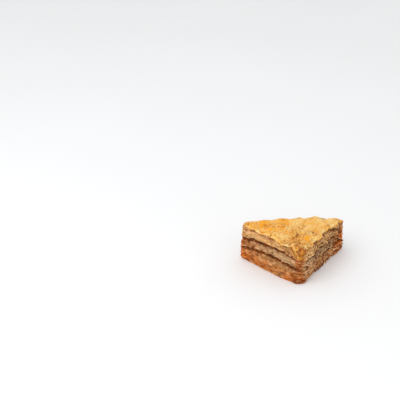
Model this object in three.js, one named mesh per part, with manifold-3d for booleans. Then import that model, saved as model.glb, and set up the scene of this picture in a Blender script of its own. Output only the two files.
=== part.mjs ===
// A right-angled slice of baklava, as cut from the tray, resting on its base.
//
// Five solids lie one on another right through the slice: a bottom stack of phyllo,
// a thin layer of ground nuts, a middle stack, a second layer of nuts, and an upper
// stack that ends in the wrinkled, baked crust. Flakes of crust hang over its cut edges.
//
// Millimetres, +Z up. The long side runs along X, and the right-angled corner where
// the two cut faces meet points to -Y. The origin is under the middle of the slice.

import * as THREE from 'three';
import { ImprovedNoise } from 'three/addons/math/ImprovedNoise.js';
import Module from 'manifold-3d';

const { clamp, degToRad, euclideanModulo, lerp, smoothstep } = THREE.MathUtils;

// Plan: the three sides, measured between sharp corners.
const LEFT_CUT = 68.9;
const RIGHT_CUT = 75.6;
const LONG_SIDE = 98.9;

// How far each side bows out, or in if negative, and how far along it, going round from
// the front corner to the right, the long side and the left.
const BOW = {
  rightCut: { out: -1, at: 0.45 },
  longSide: { out: 2.6, at: 0.5 },
  leftCut: { out: 1.2, at: 0.55 },
};

// The corners are worn round. Each size is the stretch of side that the rounding takes.
const ROUND = { front: 7, right: 5, left: 5 };

// Heights of the five layers' tops, at the three corners and at the middle of each side.
const LAYER_TOPS = {
  bottomStack: { left: 10, front: 12.2, right: 11.5, leftCut: 16.8, rightCut: 13, longSide: 13.2 },
  lowerNuts: { left: 12.2, front: 14.7, right: 13.7, leftCut: 19.2, rightCut: 15.2, longSide: 15.4 },
  middleStack: { left: 19.5, front: 23.6, right: 19.5, leftCut: 26, rightCut: 21, longSide: 22.5 },
  upperNuts: { left: 22.3, front: 25.7, right: 21.6, leftCut: 28.3, rightCut: 23.2, longSide: 24.8 },
  crust: { left: 38.8, front: 37.2, right: 33.5, leftCut: 38.6, rightCut: 36, longSide: 37.9 },
};

// Neighbouring layers keep this gap, and the layer faces between them wave a little.
const GAP = 0.3;
const LAYER_WAVE = { height: 0.5, length: 22 };

// Side faces: the slice is fullest a third of the way up, and tucks in at its base.
const BELLY = { out: 1.2, height: 9, spread: 9 };
const BASE_TUCK = { depth: 0.7, height: 1.6 };
const TOP_LEAN = 0.8;
const LEAF_PITCH = 1.9;
const LEAF_GROOVE = 0.32;
const UPPER_LEAF_PITCH = 2.9;
const CRAGS = { depth: 0.75, length: 6.5, flatness: 1.8 };
const NUT_RECESS = 0.7;
const NUT_LUMPS = { depth: 0.9, length: 3.6 };

// Crust: it rolls down at its edges, its left corner is worn, and its sheets wrinkle and
// tear. Each unevenness is read at a level of its own in the noise, so that no two match.
const EDGE_ROLL = { drop: 2.5, width: 2.3 };
const WORN_CORNER = { drop: 1.8, reach: 6 };
const WRINKLE = { height: 0.95, length: 10.5, stretch: 0.6, level: 20 };
const WARP = { shift: 5, length: 21, level: 40 };
const CRINKLE = { height: 0.45, length: 4.6, level: 30 };
const TORN_SHEET = { step: 0.55, length: 19, softness: 0.06, level: 60 };
const CREST_SHARPNESS = 3;

// Flakes of crust laid over the cut edges. at is measured along the edge from the front
// corner, to the right if positive; over is how far past the edge the middle of it hangs.
const FLAKE = { proud: 0.3, sunk: 2, clearance: 1.05, points: 18 };
const FLAKE_TEAR = { depth: 0.3, length: 0.55, seedGap: 2 };
const FLAKE_RINGS = { root: 0.6, shoulder: 0.85, rimHeight: 0.7 };
const FLAKES = [
  { at: 0.4, over: 3.4, halfWidth: 4.4, halfLength: 7.8, lift: 0.1, seed: 1 },
  { at: -7.5, over: 0.4, halfWidth: 5.5, halfLength: 4.4, lift: 0.25, seed: 2 },
  { at: -29, over: -0.8, halfWidth: 9, halfLength: 4.2, lift: 0.3, seed: 3 },
  { at: -55, over: 0.2, halfWidth: 6, halfLength: 3.6, lift: 0.3, seed: 4 },
  { at: 13, over: 0.6, halfWidth: 4.6, halfLength: 4, lift: 0.2, seed: 5 },
  { at: 29, over: 0.3, halfWidth: 6.2, halfLength: 3.7, lift: 0.25, seed: 6 },
  { at: 56, over: 0.2, halfWidth: 6, halfLength: 3.8, lift: 0.2, seed: 7 },
  { at: 100, over: 0.3, halfWidth: 8, halfLength: 3.4, lift: 0.1, seed: 8 },
];
const EDGE_SOFTNESS = 2;

// Facets: columns round the side, rows up each layer, and rings across its faces.
const COLUMNS = 104;
const FEWEST_COLUMNS = 6;
const LAYER_FACE_RINGS = [0.3, 0.6, 0.82];
const CRUST_RINGS = 13;
const NUT_ROWS = 2;
const UNDER_CRUST = { floor: -1, rows: 8 };
const SLIVER = 0.03;

// The noise is zero at whole numbers, so it is read off them, and made up to about 1.
const noise = new ImprovedNoise();
const NOISE_SHIFT = new THREE.Vector3(7.31, 3.77, 5.19);
const NOISE_GAIN = 1.4;

// Smooth unevenness between about -1 and 1 with humps of the given length.
function uneven(x, y, z, length) {
  const place = new THREE.Vector3(x, y, z).divideScalar(length).add(NOISE_SHIFT);
  return NOISE_GAIN * noise.noise(place.x, place.y, place.z);
}

// ---- Plan -------------------------------------------------------------------------

// The corners follow from the three side lengths, with the front corner at the origin.
function cornersFromSides() {
  const leftReach = (LEFT_CUT ** 2 - RIGHT_CUT ** 2 + LONG_SIDE ** 2) / (2 * LONG_SIDE);
  const depth = Math.sqrt(LEFT_CUT ** 2 - leftReach ** 2);
  return {
    front: new THREE.Vector2(0, 0),
    right: new THREE.Vector2(LONG_SIDE - leftReach, depth),
    left: new THREE.Vector2(-leftReach, depth),
  };
}

const CORNERS = cornersFromSides();

// The middle of the circle that just fits inside the plan, from the corners' weights.
const MIDDLE = new THREE.Vector2()
  .addScaledVector(CORNERS.front, LONG_SIDE)
  .addScaledVector(CORNERS.right, LEFT_CUT)
  .addScaledVector(CORNERS.left, RIGHT_CUT)
  .divideScalar(LEFT_CUT + RIGHT_CUT + LONG_SIDE);

// A closed outline with rounded corners and bowed sides, counter-clockwise from above. A
// side's curve bows half as far as its control point stands out.
function sliceOutline() {
  const sides = [
    { from: 'front', to: 'right', bow: BOW.rightCut },
    { from: 'right', to: 'left', bow: BOW.longSide },
    { from: 'left', to: 'front', bow: BOW.leftCut },
  ];
  const stretches = sides.map(({ from, to, bow }) => {
    const along = CORNERS[to].clone().sub(CORNERS[from]).normalize();
    const start = CORNERS[from].clone().addScaledVector(along, ROUND[from]);
    const end = CORNERS[to].clone().addScaledVector(along, -ROUND[to]);
    const out = new THREE.Vector2(along.y, -along.x);
    const control = start.clone().lerp(end, bow.at).addScaledVector(out, 2 * bow.out);
    return { corner: CORNERS[from], start, end, control };
  });
  const path = new THREE.Path();
  path.moveTo(stretches[2].end.x, stretches[2].end.y);
  for (const { corner, start, end, control } of stretches) {
    path.quadraticCurveTo(corner.x, corner.y, start.x, start.y);
    path.quadraticCurveTo(control.x, control.y, end.x, end.y);
  }
  return path;
}

const OUTLINE = sliceOutline();
const GIRTH = OUTLINE.getLength();
const FRONT_AT = OUTLINE.curves[0].getLength() / 2;

// The outline's point and outward direction, so far along it from the front corner.
function edgeAt(distance) {
  const share = euclideanModulo((FRONT_AT + distance) / GIRTH, 1);
  const along = OUTLINE.getTangent(share);
  return { point: OUTLINE.getPoint(share), out: new THREE.Vector2(along.y, -along.x) };
}

// Shares of the three corners at a plan point: each is 1 at its corner, 0 on the far side.
function cornerShares(x, y) {
  const { left, right } = CORNERS;
  const front = 1 - y / left.y;
  const rightShare = (x - left.x * (1 - front)) / (right.x - left.x);
  return { front, right: rightShare, left: 1 - front - rightShare };
}

// How far inside each of the three straight sides a plan point lies.
function edgeDistances(x, y) {
  const shares = cornerShares(x, y);
  const depth = CORNERS.left.y;
  return [
    shares.front * depth,
    shares.left * (depth * LONG_SIDE) / RIGHT_CUT,
    shares.right * (depth * LONG_SIDE) / LEFT_CUT,
  ].map((distance) => Math.max(0, distance));
}

// ---- Heights ----------------------------------------------------------------------

// A smooth patch through six heights, at the corners and at the middles of the sides.
function patchHeight(tops, x, y) {
  const { front, right, left } = cornerShares(x, y);
  return (
    tops.front * front * (2 * front - 1)
    + tops.right * right * (2 * right - 1)
    + tops.left * left * (2 * left - 1)
    + 4 * (tops.rightCut * front * right + tops.longSide * right * left + tops.leftCut * left * front)
  );
}

// The height of a face between two layers, which waves a little.
function layerFace(name) {
  const tops = LAYER_TOPS[name];
  return (x, y) => (
    patchHeight(tops, x, y) + LAYER_WAVE.height * uneven(x, y, tops.front, LAYER_WAVE.length)
  );
}

// Sharp crests where the unevenness passes through zero, as a baked sheet wrinkles.
function crests(x, y, { height, length, level }) {
  return height * (1 - CREST_SHARPNESS * Math.abs(uneven(x, y, level, length)));
}

// How far the crust sinks at its edges, at its worn corner and where its top sheet is torn.
function crustSink(x, y) {
  const roll = edgeDistances(x, y).reduce(
    (sum, distance) => sum + EDGE_ROLL.drop * Math.exp(-distance / EDGE_ROLL.width),
    0,
  );
  const away = Math.hypot(x - CORNERS.left.x, y - CORNERS.left.y);
  const worn = WORN_CORNER.drop * Math.exp(-((away / WORN_CORNER.reach) ** 2));
  const { step, softness, level, length } = TORN_SHEET;
  return roll + worn + step * smoothstep(uneven(x, y, level, length), -softness, softness);
}

// The top of the crust: a dome that sinks at its edges, wrinkled and torn.
function crustTop(x, y) {
  const warp = WARP.shift * uneven(x, y, WARP.level, WARP.length);
  return (
    patchHeight(LAYER_TOPS.crust, x, y)
    - crustSink(x, y)
    + crests(WRINKLE.stretch * x + warp, y + warp, WRINKLE)
    + crests(x, y, CRINKLE)
  );
}

// ---- Side faces -------------------------------------------------------------------

// How far the sides stand out from the outline at a height, whatever the layer.
function belly(z, shares) {
  const full = BELLY.out * Math.exp(-(((z - BELLY.height) / BELLY.spread) ** 2));
  const tuck = BASE_TUCK.depth * clamp(1 - z / BASE_TUCK.height, 0, 1);
  const lean = TOP_LEAN * shares.right ** 2 * clamp(z / LAYER_TOPS.crust.right, 0, 1);
  return full - tuck - lean;
}

// Stacked leaves: a groove between each pair, and crags where leaves broke away.
function leafSide(x, y, z, leaf) {
  const groove = LEAF_GROOVE * Math.cos(2 * Math.PI * leaf);
  const crag = CRAGS.depth * uneven(x, y, CRAGS.flatness * z, CRAGS.length);
  return crag - groove;
}

// Ground nuts: set back from the leaves, and lumpy.
function nutSide(x, y, z) {
  return NUT_LUMPS.depth * uneven(x, y, z, NUT_LUMPS.length) - NUT_RECESS;
}

// ---- Solids from rings ------------------------------------------------------------

// Triangles between two rings of points that start at the same place, outward facing.
function stitch(lower, upper, firstLower, firstUpper, triangles) {
  let i = 0;
  let j = 0;
  const lowerEnd = lower.length > 1 ? lower.length : 0;
  const upperEnd = upper.length > 1 ? upper.length : 0;
  const a = (k) => firstLower + (k % lower.length);
  const b = (k) => firstUpper + (k % upper.length);
  while (i < lowerEnd || j < upperEnd) {
    const lowerNext = (i + 1) / lower.length;
    const upperNext = (j + 1) / upper.length;
    if (i < lowerEnd && (j >= upperEnd || lowerNext <= upperNext)) {
      triangles.push(a(i), a(i + 1), b(j));
      i += 1;
    } else {
      triangles.push(a(i), b(j + 1), b(j));
      j += 1;
    }
  }
}

// A closed solid from rings listed from the middle of its floor to the middle of its roof.
function ringSolid(rings) {
  const positions = rings.flat().flatMap((point) => point.toArray());
  const triangles = [];
  let first = 0;
  for (let k = 0; k + 1 < rings.length; k += 1) {
    stitch(rings[k], rings[k + 1], first, first + rings[k].length, triangles);
    first += rings[k].length;
  }
  return { positions: new Float32Array(positions), triangles: new Uint32Array(triangles) };
}

// A ring across a layer's face, at a share of the way from the middle to the outline.
function faceRing(share, height) {
  const count = Math.max(FEWEST_COLUMNS, Math.round(COLUMNS * share));
  return Array.from({ length: count }, (_, k) => {
    const { point } = edgeAt((k / count) * GIRTH);
    const place = MIDDLE.clone().lerp(point, share);
    return new THREE.Vector3(place.x, place.y, height(place.x, place.y));
  });
}

// A ring round a layer's side, at a share of the way from its floor to its roof.
function sideRing(share, floor, roof, side, leaves) {
  return Array.from({ length: COLUMNS }, (_, k) => {
    const { point, out } = edgeAt((k / COLUMNS) * GIRTH);
    const shares = cornerShares(point.x, point.y);
    const height = (x, y) => lerp(floor(x, y), roof(x, y), share);
    const z = height(point.x, point.y);
    const reach = belly(z, shares) + side(point.x, point.y, z, share * leaves);
    const place = point.clone().addScaledVector(out, reach);
    return new THREE.Vector3(place.x, place.y, height(place.x, place.y));
  });
}

// One layer of the slice, from the face under it to the face over it.
function layerSolid({ floor, roof, side, rows, leaves = 1, roofRings = LAYER_FACE_RINGS }) {
  const rings = [[new THREE.Vector3(MIDDLE.x, MIDDLE.y, floor(MIDDLE.x, MIDDLE.y))]];
  for (const share of LAYER_FACE_RINGS) rings.push(faceRing(share, floor));
  for (let row = 0; row <= rows; row += 1) {
    rings.push(sideRing(row / rows, floor, roof, side, leaves));
  }
  for (const share of roofRings.toReversed()) rings.push(faceRing(share, roof));
  rings.push([new THREE.Vector3(MIDDLE.x, MIDDLE.y, roof(MIDDLE.x, MIDDLE.y))]);
  return ringSolid(rings);
}

// ---- Flakes -----------------------------------------------------------------------

// Never negative, and close to value where value is large: it rounds a sheet's bend.
function softened(value) {
  return (value + Math.hypot(value, EDGE_SOFTNESS)) / 2;
}

// A point on a sheet that lies on the crust and bends down over its edge. depth is
// measured out from the sheet's middle, square to it.
function overEdge(along, past, depth) {
  const { point, out } = edgeAt(along);
  const bend = (1 + past / Math.hypot(past, EDGE_SOFTNESS)) / 2;
  const inward = softened(-past);
  const place = point.clone().addScaledVector(out, EDGE_SOFTNESS / 2 - inward + depth * bend);
  const inner = point.clone().addScaledVector(out, -inward);
  const top = crustTop(inner.x, inner.y) + EDGE_SOFTNESS / 2;
  return new THREE.Vector3(place.x, place.y, top - softened(past) + depth * (1 - bend));
}

// A torn flake: a sheet with a ragged outline, and its root sunk into the crust behind it.
function flakeSolid({ at, over, halfWidth, halfLength, lift, seed }) {
  const { out } = edgeAt(at);
  const sink = new THREE.Vector3(-out.x, -out.y, -1).multiplyScalar(FLAKE.sunk);
  const ring = (size, depth) => Array.from({ length: FLAKE.points }, (_, k) => {
    const turn = degToRad((360 * k) / FLAKE.points);
    const torn = uneven(Math.cos(turn), Math.sin(turn), FLAKE_TEAR.seedGap * seed, FLAKE_TEAR.length);
    const ragged = 1 + FLAKE_TEAR.depth * torn;
    const along = at + size * ragged * halfWidth * Math.cos(turn);
    const past = over - size * ragged * halfLength * Math.sin(turn);
    return overEdge(along, past, depth);
  });
  const sunkRing = (size) => ring(size, 0).map((point) => point.add(sink));
  const proud = FLAKE.proud + lift;
  return ringSolid([
    [overEdge(at, over, 0).add(sink)],
    sunkRing(FLAKE_RINGS.root),
    sunkRing(1),
    ring(1, FLAKE_RINGS.rimHeight * proud),
    ring(FLAKE_RINGS.shoulder, proud),
    [overEdge(at, over, proud)],
  ]);
}

// ---- Assembly ---------------------------------------------------------------------

const wasm = await Module();
wasm.setup();

function toManifold({ positions, triangles }) {
  return new wasm.Manifold(new wasm.Mesh({
    numProp: 3,
    vertProperties: positions,
    triVerts: triangles,
  }));
}

function toGeometry({ positions, triangles }) {
  const geometry = new THREE.BufferGeometry();
  geometry.setAttribute('position', new THREE.BufferAttribute(positions, 3));
  geometry.setIndex(new THREE.BufferAttribute(triangles, 1));
  geometry.computeVertexNormals();
  return geometry;
}

// The crust with its flakes joined on, cut clear of everything that it lies on. Only the
// largest shell is kept, so that a pocket closed by a flake is filled.
function withFlakes(crust, keptClear) {
  const joined = FLAKES.reduce(
    (whole, flake) => whole.add(toManifold(flakeSolid(flake))),
    toManifold(crust),
  );
  const shells = joined.subtract(toManifold(keptClear)).simplify(SLIVER).decompose();
  const outer = shells.reduce((a, b) => (b.volume() > a.volume() ? b : a));
  const mesh = outer.getMesh();
  return { positions: mesh.vertProperties, triangles: mesh.triVerts };
}

const raised = (height) => (x, y) => height(x, y) + GAP / 2;
const lowered = (height) => (x, y) => height(x, y) - GAP / 2;

const bottomFace = layerFace('bottomStack');
const lowerNutFace = layerFace('lowerNuts');
const middleFace = layerFace('middleStack');
const upperNutFace = layerFace('upperNuts');

const bottomLeaves = Math.round(LAYER_TOPS.bottomStack.rightCut / LEAF_PITCH);
const middleLeaves = Math.round(
  (LAYER_TOPS.middleStack.rightCut - LAYER_TOPS.lowerNuts.rightCut) / LEAF_PITCH,
);
const upperLeaves = Math.round(
  (LAYER_TOPS.crust.rightCut - LAYER_TOPS.upperNuts.rightCut) / UPPER_LEAF_PITCH,
);

const crust = layerSolid({
  floor: raised(upperNutFace),
  roof: crustTop,
  side: leafSide,
  rows: 2 * upperLeaves,
  leaves: upperLeaves,
  roofRings: Array.from({ length: CRUST_RINGS }, (_, k) => (k + 1) / (CRUST_RINGS + 1)),
});

// What the flakes hang clear of: the four lower layers, grown all round.
const underCrust = layerSolid({
  floor: () => UNDER_CRUST.floor,
  roof: upperNutFace,
  side: () => FLAKE.clearance,
  rows: UNDER_CRUST.rows,
});

const layers = {
  phyllo_bottom: layerSolid({
    floor: () => 0,
    roof: lowered(bottomFace),
    side: leafSide,
    rows: 2 * bottomLeaves,
    leaves: bottomLeaves,
  }),
  nut_lower: layerSolid({
    floor: raised(bottomFace),
    roof: lowered(lowerNutFace),
    side: nutSide,
    rows: NUT_ROWS,
  }),
  phyllo_middle: layerSolid({
    floor: raised(lowerNutFace),
    roof: lowered(middleFace),
    side: leafSide,
    rows: 2 * middleLeaves,
    leaves: middleLeaves,
  }),
  nut_upper: layerSolid({
    floor: raised(middleFace),
    roof: lowered(upperNutFace),
    side: nutSide,
    rows: NUT_ROWS,
  }),
  phyllo_top: withFlakes(crust, underCrust),
};

const finishes = {
  phyllo_bottom: { color: 0xb5702a, roughness: 0.45 },
  nut_lower: { color: 0x5b3219, roughness: 0.8 },
  phyllo_middle: { color: 0xb59366, roughness: 0.6 },
  nut_upper: { color: 0x6a3a1d, roughness: 0.8 },
  phyllo_top: { color: 0xe0a03c, roughness: 0.35 },
};

const baklava = new THREE.Group();
for (const [name, solid] of Object.entries(layers)) {
  const material = new THREE.MeshStandardMaterial({ ...finishes[name], metalness: 0 });
  const mesh = new THREE.Mesh(toGeometry(solid), material);
  mesh.name = name;
  baklava.add(mesh);
}

// The origin goes under the middle of the whole slice.
const span = new THREE.Box3().setFromObject(baklava);
const centre = span.getCenter(new THREE.Vector3());
baklava.position.set(-centre.x, -centre.y, 0);
baklava.updateMatrixWorld(true);

export default baklava;
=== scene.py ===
"""Dresses a right-angled slice of baklava: thin leaves, ground nuts, baked crust and flakes.

The slice's shape is read from the frame's solids, and every piece is built round it. Shapes
are worked out in millimetres and turned into metres when a mesh is made. Places round the
sides are given as a distance along the edge from the front corner, to the right if positive,
and a height.
"""

import itertools
import math
from collections import namedtuple
from functools import cache

import bmesh
import bpy
import numpy as np
from bpy.props import FloatProperty, FloatVectorProperty, IntProperty, PointerProperty
from mathutils import Matrix, Vector
from mathutils.bvhtree import BVHTree


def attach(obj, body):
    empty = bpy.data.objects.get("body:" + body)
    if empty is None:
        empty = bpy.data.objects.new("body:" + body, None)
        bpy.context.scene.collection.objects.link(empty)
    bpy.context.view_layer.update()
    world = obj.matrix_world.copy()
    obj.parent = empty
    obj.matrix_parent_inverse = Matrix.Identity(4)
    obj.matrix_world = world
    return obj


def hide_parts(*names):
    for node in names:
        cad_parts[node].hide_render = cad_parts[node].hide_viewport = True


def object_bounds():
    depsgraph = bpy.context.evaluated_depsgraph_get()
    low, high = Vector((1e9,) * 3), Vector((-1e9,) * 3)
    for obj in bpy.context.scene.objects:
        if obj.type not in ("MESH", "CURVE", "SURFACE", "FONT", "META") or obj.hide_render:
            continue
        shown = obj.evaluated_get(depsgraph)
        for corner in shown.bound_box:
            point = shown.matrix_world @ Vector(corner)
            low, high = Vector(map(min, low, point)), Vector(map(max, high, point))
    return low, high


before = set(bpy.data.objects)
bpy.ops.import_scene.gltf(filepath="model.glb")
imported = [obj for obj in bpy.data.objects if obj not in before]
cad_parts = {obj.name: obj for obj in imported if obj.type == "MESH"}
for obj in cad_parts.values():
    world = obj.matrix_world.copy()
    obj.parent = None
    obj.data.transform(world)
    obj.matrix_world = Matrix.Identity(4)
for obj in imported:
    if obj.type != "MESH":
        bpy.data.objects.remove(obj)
CAD_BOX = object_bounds()

bl_info = {
    "name": "Baklava Slice",
    "version": (1, 0, 0),
    "blender": (4, 5, 0),
    "location": "View3D > Sidebar > Baklava",
    "description": "Leaves, nuts, crust and flakes for a cut slice of baklava",
    "category": "Object",
}

MM = 0.001
BODY = "root"

STACKS = ["phyllo_bottom", "phyllo_middle", "phyllo_top"]

# Round the sides, shapes are read at this many columns, and at these shares of the way up.
COLUMNS = 560
SIDE_LEVELS = np.linspace(0.06, 0.94, 9)

# Stains on the sides, by kind: how far along the edge each one is and how high up, how far it
# spreads along and up, in millimetres, and how strong it is.
STAINS = {
    # Leaves full of syrup, most of all at the three corners.
    "soak": [
        (-66, 6, 17, 9, 1.0), (-67, 18, 6, 8, 0.9), (-3, 5, 8.5, 6, 1.0), (67, 12, 9, 15, 1.1),
        (-1, 22, 4.5, 13, 0.95), (-55, 19.5, 13, 4.5, 0.4), (-46, 7, 12, 7, 0.35),
        (-56, 34.5, 12, 2.5, 0.3),
    ],
    # Leaves baked brown: next to the crust, along the fillings and at the corners. Next to the
    # crust the brown is partly painted shadow under the crust's overhanging edge.
    "toast_and_shadow": [
        (-66, 33.5, 4, 3, 0.6), (-2.5, 3, 6, 8, 1.0), (0, 20, 3, 12, 0.8), (68, 8, 3, 5, 0.3),
        (45, 0, 26, 2.4, 0.6), (-40, 36, 32, 2.4, 0.8), (-48, 25, 20, 2.6, 0.6),
        (-61, 21.3, 8, 3.2, 0.85), (-3, 29, 7, 5, 0.5), (-50, 16, 16, 2.2, 0.5),
        (-13, 31.5, 8, 5, 0.65), (-57, 19, 10, 4, 0.45), (-51, 8, 9, 7, 0.17),
        (15, 35.5, 9, 3.0, 0.9), (36, 34.2, 24, 3.0, 0.8), (62, 31, 9, 5, 0.9),
    ],
    # Nut dust smeared over the leaves by the knife.
    "dust": [
        (-27, 18, 8, 2.2, 0.8), (-10, 15.6, 10, 3.6, 1.0), (-45, 26.8, 18, 2.6, 0.7),
        (-10, 25.3, 9, 2, 0.4), (50, 21, 8, 3.5, 0.8), (56, 29, 6, 3, 0.6), (63, 17, 4, 4, 0.8),
        (36, 20, 26, 10, 0.45),
    ],
    # The palest leaves.
    "light": [
        (-52, 31, 25, 7, 0.95), (-64, 30, 8, 7, 1.1), (-24, 21.5, 18, 3.5, 0.55),
        (10, 14, 8, 12, 1.8), (66, 14, 8, 16, 0.9), (105, 28, 30, 6, 0.5),
    ],
    # Where the fillings lie open. Elsewhere leaves droop over them.
    "open": [
        (-57, 24.4, 15, 7, 1.0), (-38, 26.7, 14, 6, 1.0), (-22, 27, 9, 5, 0.9),
        (-31, 18, 11, 6, 1.0), (-48, 17, 7, 5, 0.85), (-60, 14.5, 7, 5, 0.7),
        (-9, 15.7, 10, 6, 0.9), (54, 21.5, 7, 4, 1.0), (56, 14, 5, 4, 0.9), (64, 15, 4, 5, 0.7),
        (30, 22, 5, 3, 0.6), (12, 22, 3, 3, 0.5), (88, 24, 14, 5, 0.8), (112, 16, 15, 5, 0.8),
        (140, 24, 12, 5, 0.7),
    ],
    # Hollows where bits of leaf and nut fell out.
    "hollow": [
        (-63, 32, 3.2, 1.1, 1.0), (-28, 18.2, 4, 1.2, 0.8), (14, 34, 2.2, 1.4, 0.9),
        (22, 33, 2.0, 1.3, 0.9), (30, 33.8, 2.4, 1.3, 0.9), (34, 6, 2.2, 1.2, 0.8),
        (41, 17, 2.2, 1.2, 0.8), (44, 7, 2.0, 1.1, 0.7), (52, 22, 3.5, 1.3, 0.9),
        (56, 29.5, 3.2, 1.4, 1.0), (55, 15, 2.4, 1.4, 0.9), (63, 26.8, 2.4, 1.6, 0.9),
        (64, 15, 2, 1.4, 0.9), (24, 16, 1.8, 1.0, 0.7), (96, 30, 3, 1.2, 0.7),
        (128, 29, 3, 1.2, 0.7),
    ],
}

# Patches on the crust, by kind: where each one is in plan, its radius in millimetres and how
# strong it is.
SPOTS = {
    "gold": [
        (-30, 15, 11, 0.9), (-22, 9, 7, 1.0), (-9, 22.7, 6, 0.9), (-16, 3, 5, 0.5),
        (-3, -10, 9, 0.9),
    ],
    "brown": [
        (-12, -14, 6, 0.7), (-5, -29, 10, 1.0), (-8, -7, 3.5, 0.5), (5, -20, 4, 0.7),
        (-25, 12, 4, 0.3), (-9, 22, 3.5, 0.35), (41, 19, 5, 0.5), (-44, 20, 4, 0.5),
    ],
    "pale": [
        (18, 10, 14, 0.5), (2, 20, 7, 0.5), (-3, 3, 10, 0.4), (32, 19, 10, 0.3),
        (10, -8, 6, 0.5), (-3, -15, 5, 0.6),
    ],
    # Where the sheets are crinkled most.
    "crinkled": [
        (-6, 2, 12, 1.0), (-4, -14, 10, 1.0), (-26, 12, 12, 0.5), (10, -4, 9, 0.8),
    ],
}

# Flakes over the cut edges: place along the edge, how far past it the middle hangs, half
# sizes, how far the flake lifts, how brown it is, its seed, and how far its ends lean along.
Flake = namedtuple("Flake", "at over half_width half_length lift brown seed lean", defaults=[0])
FLAKES = [
    Flake(*row)
    for row in (
        (0.2, 2.4, 2.6, 6.0, 0.1, 1.0, 1),
        (-7.5, -0.6, 5.0, 3.0, 0.25, 0.6, 2, 0.3),
        (-29, -2.4, 8, 2.6, 0.3, 0.3, 3, 0.4),
        (-52, -1.4, 6, 2.4, 0.3, 0.35, 4, -0.3),
        (12, -0.6, 4.4, 2.8, 0.2, 0.35, 5),
        (29, -0.4, 5.6, 3.2, 0.25, 0.2, 6, 0.4),
        (56, 0.2, 6, 3.6, 0.2, 0.4, 7, -0.3),
        (100, -0.5, 9, 4, 0.25, 0.4, 8),
        # Strands that run down beside the front corner from both sides and meet at it.
        (-9.5, 0.8, 1.0, 5.6, 0.5, 0.95, 21, 1.0),
        (-7.6, 1.8, 0.9, 6.0, 0.55, 0.1, 22, 0.9),
        (-6.4, 2.8, 1.0, 6.2, 0.5, 1.0, 23, 0.8),
        (-11.5, 0.2, 0.9, 4.6, 0.45, 0.75, 24, 1.2),
        (-4.6, 3.6, 0.8, 6.4, 0.5, 0.35, 25, 0.55),
        (-2.6, 4.6, 0.9, 6.6, 0.5, 1.0, 26, 0.35),
        (-0.9, 5.4, 0.8, 6.2, 0.4, 0.8, 27, 0.1),
        (0.6, 4.4, 0.9, 5.4, 0.45, 1.0, 28, -0.1),
        (2.4, 3.4, 0.9, 5.4, 0.45, 0.9, 29, -0.35),
        (4.2, 2.4, 0.8, 4.8, 0.5, 0.2, 30, -0.55),
        (5.6, 1.4, 1.0, 4.8, 0.45, 1.0, 31, -0.8),
        (7.6, 0.6, 0.9, 4.2, 0.4, 0.7, 32, -1.0),
        (-1.8, 8.6, 0.7, 4.6, 0.3, 0.7, 33, 0.25),
        (0.4, 9.6, 0.7, 4.4, 0.3, 1.0, 34, -0.05),
        (-3.6, 6.8, 0.7, 4.4, 0.35, 0.15, 35, 0.4),
        (-8.6, 3.4, 0.7, 3.6, 0.35, 0.5, 36, 0.9),
    )
]


# ---- Sizes and colours ---------------------------------------------------------------


def count_property(name, default, description, least=0):
    return IntProperty(name=name, description=description, default=default, min=least)


def length_property(name, millimetres, description):
    return FloatProperty(
        name=name,
        description=description,
        default=millimetres * MM,
        min=0,
        unit="LENGTH",
        precision=5,
    )


def colour_property(name, colour, description):
    return FloatVectorProperty(
        name=name,
        description=description,
        default=colour,
        min=0,
        max=1,
        size=3,
        subtype="COLOR",
    )


class BaklavaSizes(bpy.types.PropertyGroup):
    """Sizes of the leaves, nuts and crust."""

    bottom_leaves: count_property("Bottom leaves", 22, "Leaves in the bottom stack", least=1)
    middle_leaves: count_property("Middle leaves", 12, "Leaves in the middle stack", least=1)
    upper_leaves: count_property("Upper leaves", 15, "Leaves under the crust", least=1)
    leaf_jag: length_property("Leaf jag", 0.2, "How ragged the cut edge of a leaf is")
    leaf_reach: length_property("Leaf reach", 0.5, "How unevenly the leaves end at the cut")
    clump: length_property("Clump", 0.5, "How far clumps of leaves stand out together")
    leaf_wave: length_property("Leaf wave", 0.3, "How far the edge of a leaf waves up and down")
    bite: length_property("Bite", 1.3, "How deep a piece broken out of a leaf is")
    crust_thickness: length_property("Crust thickness", 0.9, "Thickness of the baked sheets")
    wrinkle: length_property("Wrinkle", 1.1, "Height of the wrinkles in the crust")
    crinkle: length_property("Crinkle", 0.65, "Height of the fine crinkles in the crust")
    nut_size: length_property("Nut size", 0.7, "Usual radius of a chopped nut")
    nuts_each: count_property("Nuts", 1250, "Chopped nuts that show in each layer")
    crumbs: count_property("Crumbs", 3200, "Crumbs stuck to the cut sides")
    shards: count_property("Shards", 70, "Small torn shards along the cut edges")
    curls: count_property("Curls", 60, "Curled shards on top of the crust")


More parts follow.
